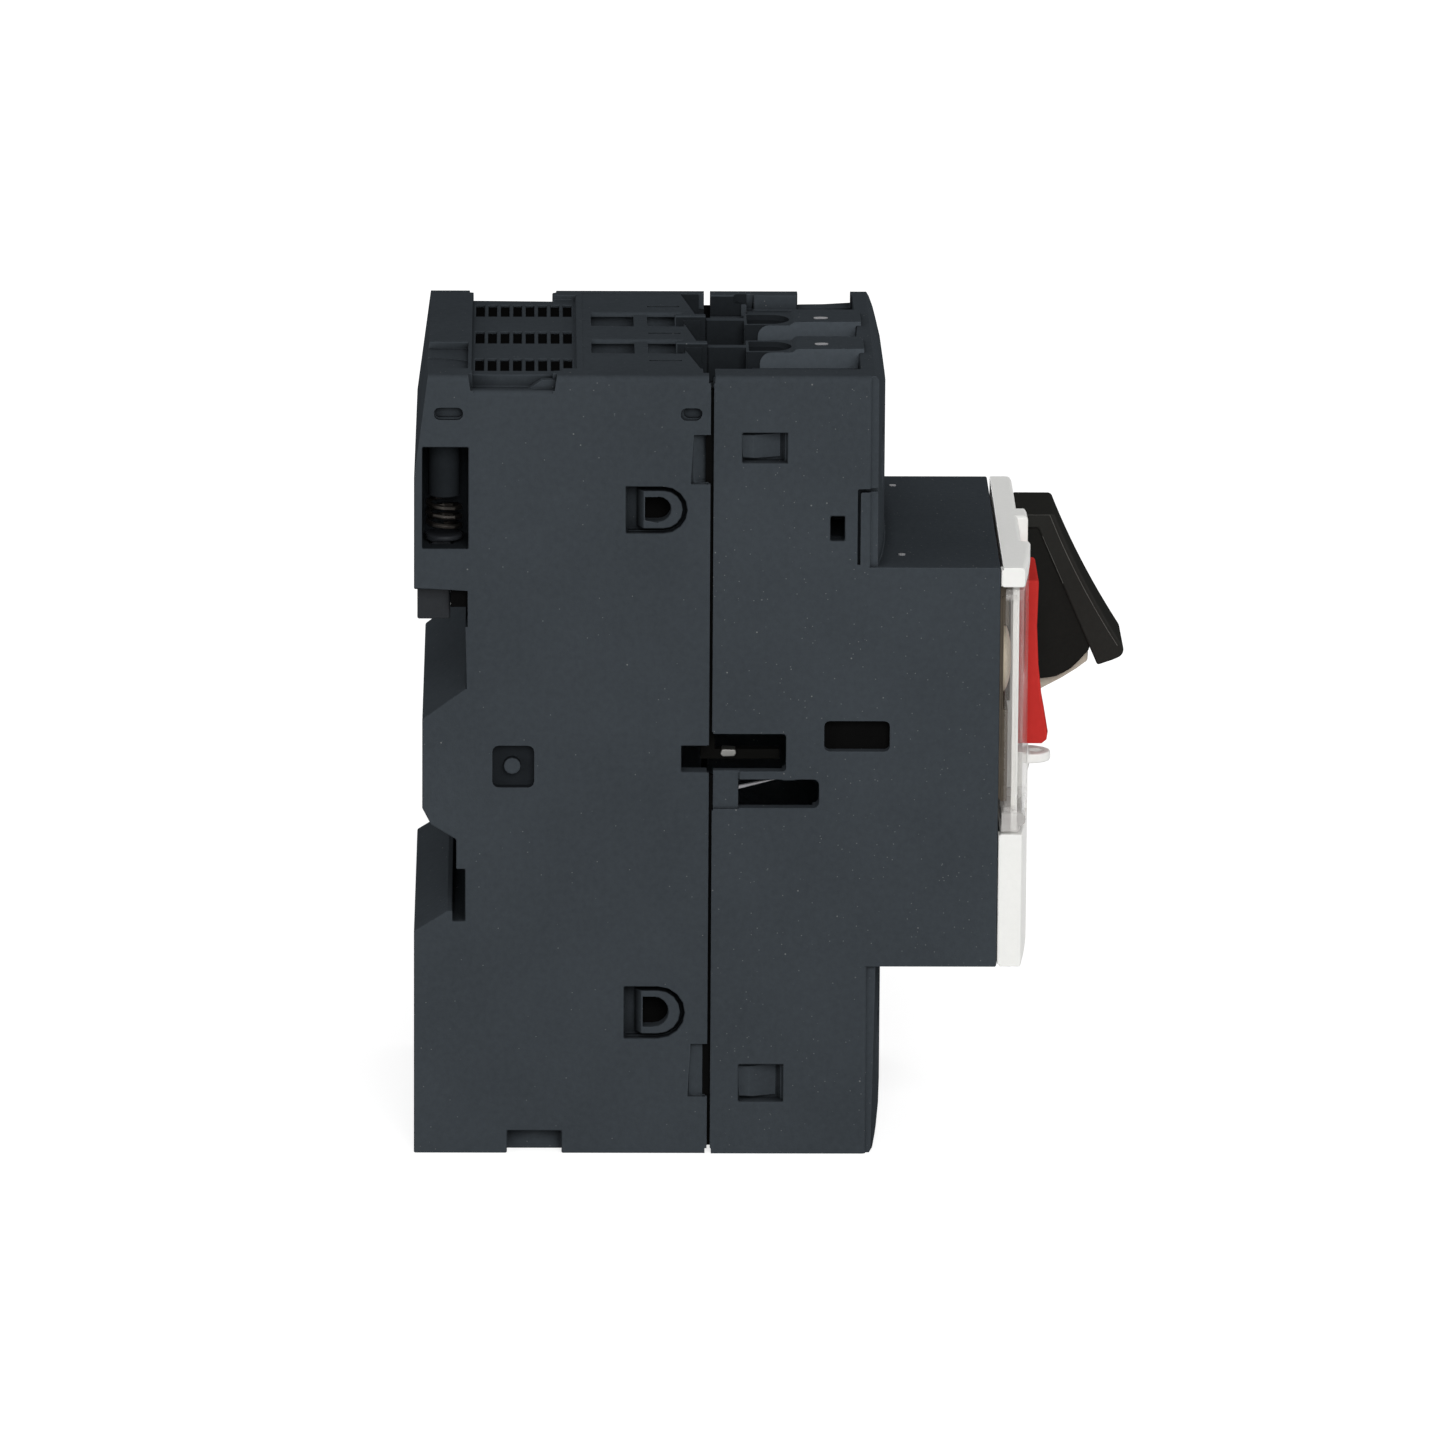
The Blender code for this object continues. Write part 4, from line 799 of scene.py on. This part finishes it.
# The tan dial's paler rim is a painted highlight
tan = moulded("tan moulding", TAN, 0.4, shine=0.2, mottle=0.08, rim=0.4)
panel = solid_of("setting_panel", "scale_panel")
PANEL_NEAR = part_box("setting_panel")[0].x / MM
PANEL_HEIGHTS = (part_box("setting_panel")[0].z / MM + 0.2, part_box("setting_panel")[1].z / MM - 0.2)
DIAL_ROOM = (50.9, 60.5)
RIM = 65.35
join(panel, brick((PANEL_NEAR + 0.05, PANEL_NEAR + 1.5), (NOSE_FRONT, 65.7), PANEL_HEIGHTS))
join(panel, brick((PANEL_NEAR + 0.2, PANEL_NEAR + 1.4), (NOSE_FRONT, 66.2), (63.5, COVER_SPAN[1] - 0.05)))
cut(panel, brick((PANEL_NEAR - OVER, COVER_EDGE), (RIM, 67.0), DIAL_ROOM))
for front_end, height in ((66.15, (PANEL_HEIGHTS[0], 49.6)), (66.5, (49.5, PANEL_HEIGHTS[1]))):
    join(panel, brick((COVER_EDGE - 0.9, COVER_EDGE - 0.5), (65.4, front_end), height))
soften(panel, 0.08)
seat(panel, "base", "cream_plastic", panel_shade_brown, "setting_panel")


def turned(name, centre, outline, sides=48):
    """Round shape about a depth axis at (x, z), from (radius, depth) points that end on the axis."""
    net = bmesh.new()
    rings = []
    for radius, depth in outline[:-1]:
        spots = arc(centre, radius, 0, 360 * (1 - 1 / sides), sides - 1)
        rings.append([net.verts.new(at(x, depth, z)) for x, z in spots])
    tip = net.verts.new(at(centre[0], outline[-1][1], centre[1]))
    net.faces.new(rings[0])
    for low, high in zip(rings, rings[1:]):
        for i in range(sides):
            net.faces.new((low[i - 1], low[i], high[i], high[i - 1]))
    for i in range(sides):
        net.faces.new((rings[-1][i - 1], rings[-1][i], tip))
    bmesh.ops.recalc_face_normals(net, faces=net.faces)
    return made(net, name)


dial_low, dial_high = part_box("setting_dial")
DIAL = ((dial_low.x + dial_high.x) / 2 / MM, (dial_low.z + dial_high.z) / 2 / MM)
DIAL_RADIUS = (dial_high.z - dial_low.z) / 2 / MM
DIAL_BACK = (BACK_PLANE - dial_high.y) / MM
DIAL_TOP = (BACK_PLANE - dial_low.y) / MM
DOME_TURNS = [radians(9 * i) for i in range(10)]
dome = [(DIAL_RADIUS, DIAL_BACK)]
dome += [(DIAL_RADIUS * cos(t), RIM + (DIAL_TOP - RIM) * sin(t)) for t in DOME_TURNS]
dial = turned("current_dial", DIAL, dome)
cut(dial, brick(about(DIAL[0], 0.45), (DIAL_TOP - 0.7, DIAL_TOP + OVER), about(DIAL[1], 2.6)))
soften(dial, 0.08)
seat(dial, "dial", "cream_plastic", tan, "setting_dial")

# Clear cover
# A thin cover of clear polycarbonate, faintly milky from wear and painted sheen, hinges on its lower edge
# over the dial.
MILKY = ((0.62, 0.60, 0.58), (0.80, 0.78, 0.76))
clear, shader, where, add, blend, drive = node_net("clear polycarbonate")
haze = noise(add, where, 140.0, 0.6, detail=4.0)
drive("Base Color", blend(haze, *MILKY))
drive("Roughness", ranged(add, haze, 0.3, 0.7, 0.1, 0.25))
veil = add("ShaderNodeBsdfTransparent", {"Color": (0.985, 0.98, 0.975, 1)})
gloss = add("ShaderNodeBsdfGlossy", {"Roughness": 0.08})
mirror = worked(add, "MULTIPLY", add("ShaderNodeFresnel", {"IOR": 1.45}), 0.6)
pane = add("ShaderNodeMixShader", {0: mirror, 1: veil, 2: gloss})

# The milk, partly wear haze and partly painted sheen, shows most where one looks along the plastic: at the
# front edge, the hinge and the top
spot = add("ShaderNodeSeparateXYZ", {0: where}).node.outputs
front_part = ranged(add, spot["Y"], BACK_PLANE - 67.0 * MM, BACK_PLANE - 67.4 * MM, 0.03, 0.17)
hinge_part = ranged(add, spot["Z"], 40.2 * MM, 39.2 * MM, 0.0, 0.45)
top_part = ranged(add, spot["Z"], 63.5 * MM, 63.8 * MM, 0.0, 0.22)
milk_and_sheen = worked(add, "MAXIMUM", front_part, hinge_part)
milk_and_sheen = worked(add, "MAXIMUM", milk_and_sheen, top_part)
milk_and_sheen = worked(add, "MULTIPLY", milk_and_sheen, worked(add, "ADD", haze, 0.5))
glazing = add("ShaderNodeMixShader", {0: milk_and_sheen, 1: pane, 2: shader.outputs[0]})
clear.node_tree.links.new(glazing, clear.node_tree.nodes["Material Output"].inputs["Surface"])
cover = solid_of("clear_cover", "clear_lid")
join(cover, brick((-HALF + 0.2, COVER_EDGE - 0.4), (65.3, 67.3), (37.15, 39.4)))
soften(cover, 0.15)
seat(cover, "cover", "clear_plastic", clear, "clear_cover")

# Stop paddle
# The red paddle is a hollow-faced moulding on the shaft; its satin face is lightly scuffed.
RED = (0.50, 0.032, 0.028)
red = moulded("red moulding", RED, 0.4, shine=0.0, mottle=0.06, grain=0.15)
stop = solid_of("stop_paddle", "red_paddle")
soften(stop, 0.3, 3)
seat(stop, "stop", "red_plastic", red, "stop_paddle")

# Start paddle and its lever
# The black paddle is a leaning plate between two cheeks, pressed onto a cream lever on the same shaft.
START_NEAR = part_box("start_paddle")[0].x / MM
START_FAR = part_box("start_paddle")[1].x / MM


def bent(start, pull, end, steps):
    """Points of a curve from a start to an end, drawn towards a third point."""
    shares = [i / steps for i in range(steps + 1)]
    return [tuple((1 - t) ** 2 * a + 2 * t * (1 - t) * b + t * t * c for a, b, c in zip(start, pull, end))
            for t in shares]


PADDLE_TIP = (79.05, 50.75)
TIP_RADIUS = 1.0
PADDLE_BACK = 67.65
PADDLE_TOP = 66.5
PADDLE_ROOT = (70.2, 64.9)
PADDLE_LEAN = 0.433
paddle_front = bent((72.05, PADDLE_TOP), (75.1, 58.8), (79.92, 51.25), 12)
paddle_side = paddle_front + arc(PADDLE_TIP, TIP_RADIUS, 18, -68, 8)
paddle_side += [(77.1, 48.95), PADDLE_ROOT, (PADDLE_BACK, PADDLE_ROOT[1]), (PADDLE_BACK, PADDLE_TOP)]
start = prism(paddle_side, (START_NEAR, START_FAR))
start.name = "black_paddle"
ease(start, 0.55, lambda x, depth, z: depth > 71.1 + PADDLE_LEAN * (PADDLE_ROOT[1] - z))
soften(start, 0.25, 3)
seat(start, "start", "black_plastic", black, "start_paddle")

# Its two cheeks, darker as painted shade, and thin painted highlight lines along the near edge and down the
# near face
shade_black = moulded("shaded black moulding", scaled(BLACK, 0.6), 0.5, shine=0.0, mottle=0.08)
cheek_side = [(70.9, 65.2), (76.5, 52.0), (76.1, 50.6), (75.05, 49.4), (74.16, 48.5), (73.35, 48.0)]
cheek_side += [(72.45, 47.55), (71.6, 47.4), (66.4, 46.8), (66.4, 64.2)]
cheeks = prism(cheek_side, (START_NEAR + 0.4, START_NEAR + 1.6))
join(cheeks, prism(cheek_side, (START_FAR - 1.6, START_FAR - 0.4)))
cheeks.name = "paddle_cheeks"
soften(cheeks, 0.2)
seat(cheeks, "start", "black_plastic", shade_black)
highlight_grey = moulded("painted-highlight black moulding", scaled(BLACK, 4.0), 0.5, shine=0.05)
INSET = 0.58
edge_path = [(67.75, 66.42), (71.5, 66.42)] + [(depth - INSET, z) for depth, z in paddle_front[2:]]


def ribbon(path, half):
    """Thin line along a path on the paddle's near face."""
    sides = [(depth + half, z + half / 2) for depth, z in path]
    sides += [(depth - half, z - half / 2) for depth, z in reversed(path)]
    return prism(sides, (START_NEAR - 0.02, START_NEAR + 0.2))


highlight_lines = ribbon(edge_path, 0.04)
join(highlight_lines, ribbon([(70.7, 64.0), (73.1, 58.5)], 0.03))
highlight_lines.name = "paddle_highlight_line"
seat(highlight_lines, "start", "black_plastic", highlight_grey)
lever = solid_of("start_lever", "cream_lever")
lip = [(68.2, 45.2), (70.85, 45.85), (73.1, 47.05), (74.8, 48.15), (76.05, 49.1), (76.1, 50.2)]
lip += [(75.0, 50.0), (68.2, 48.0)]
join(lever, prism(lip, (START_NEAR + 1.65, START_FAR - 1.65)))
soften(lever, 0.2)
seat(lever, "start", "cream_plastic", cream, "start_lever")

# Floor, light and camera
# The part stands on a pale floor in soft studio light, seen square on to its left side.
floor_mesh = bpy.data.meshes.new("floor")
floor_mesh.from_pydata([(-4, -4, 0), (8, -4, 0), (8, 4, 0), (-4, 4, 0)], [], [(0, 1, 2, 3)])
floor = link("floor", floor_mesh)


def seen_share(tree, hidden, shown):
    """Socket with one value for light that falls on the part and another for what the camera sees."""
    path = tree.nodes.new("ShaderNodeLightPath")
    total = path.outputs["Is Camera Ray"]
    for name in ("Is Glossy Ray", "Is Transmission Ray"):
        more = tree.nodes.new("ShaderNodeMath")
        more.operation = "MAXIMUM"
        tree.links.new(total, more.inputs[0])
        tree.links.new(path.outputs[name], more.inputs[1])
        total = more.outputs[0]
    level = tree.nodes.new("ShaderNodeMapRange")
    tree.links.new(total, level.inputs["Value"])
    level.inputs["To Min"].default_value = hidden
    level.inputs["To Max"].default_value = shown
    return level.outputs[0]


FLOOR_GREY = (0.55, 0.55, 0.55, 1)
FLOOR_GLOW = 0.75
pale = bpy.data.materials.new("pale floor")
pale.use_nodes = True
tree = pale.node_tree
tree.nodes.clear()
matt = tree.nodes.new("ShaderNodeBsdfDiffuse")
matt.inputs["Color"].default_value = FLOOR_GREY
glow = tree.nodes.new("ShaderNodeEmission")
tree.links.new(seen_share(tree, 0.0, FLOOR_GLOW), glow.inputs["Strength"])
both = tree.nodes.new("ShaderNodeAddShader")
tree.links.new(matt.outputs[0], both.inputs[0])
tree.links.new(glow.outputs[0], both.inputs[1])
output = tree.nodes.new("ShaderNodeOutputMaterial")
tree.links.new(both.outputs[0], output.inputs["Surface"])
floor_mesh.materials.append(pale)

SKY_LIGHT = 0.37
world = bpy.data.worlds.new("studio")
bpy.context.scene.world = world
world.use_nodes = True
tree = world.node_tree
tree.nodes.clear()
sky = tree.nodes.new("ShaderNodeBackground")
tree.links.new(seen_share(tree, SKY_LIGHT, 1.0), sky.inputs["Strength"])
output = tree.nodes.new("ShaderNodeOutputWorld")
tree.links.new(sky.outputs[0], output.inputs["Surface"])
MIDDLE = Vector((0, 0, 0.045))


def soft_box(name, place, size, watts):
    """Square soft light at a place, turned to the middle of the part."""
    lamp = bpy.data.lights.new(name, "AREA")
    lamp.size = size
    lamp.energy = watts
    holder = link(name, lamp)
    holder.location = place
    holder.rotation_euler = (MIDDLE - Vector(place)).to_track_quat("-Z", "Y").to_euler()


soft_box("key light", (-1.3, -0.2, 0.66), 0.8, 14.5)
soft_box("front light", (-0.2, -1.4, 0.28), 0.8, 5.2)
soft_box("far light", (1.3, 0.5, 0.3), 0.8, 9.0)
soft_box("back light", (-1.0, 1.1, 0.3), 0.6, 3.4)

VIEW_PLACE = (-1.3907, 0.0281, 0.3952)
VIEW_YAW = radians(-0.93)
VIEW_PITCH = radians(-14.17)
VIEW_ROLL = radians(0.36)
forward = Vector((cos(VIEW_PITCH) * cos(VIEW_YAW), cos(VIEW_PITCH) * sin(VIEW_YAW), sin(VIEW_PITCH)))
right = forward.cross(Vector((0, 0, 1))).normalized()
up = right.cross(forward)
turned_right = cos(VIEW_ROLL) * right + sin(VIEW_ROLL) * up
turned_up = cos(VIEW_ROLL) * up - sin(VIEW_ROLL) * right
camera_data = bpy.data.cameras.new("camera")
camera_data.lens = 317.1
camera_data.sensor_width = 36.0
camera_data.clip_end = 20
camera = link("camera", camera_data)
facing = Matrix((turned_right, turned_up, -forward)).transposed().to_4x4()
camera.matrix_world = Matrix.Translation(VIEW_PLACE) @ facing
bpy.context.scene.camera = camera
bpy.context.scene.view_settings.view_transform = "Standard"
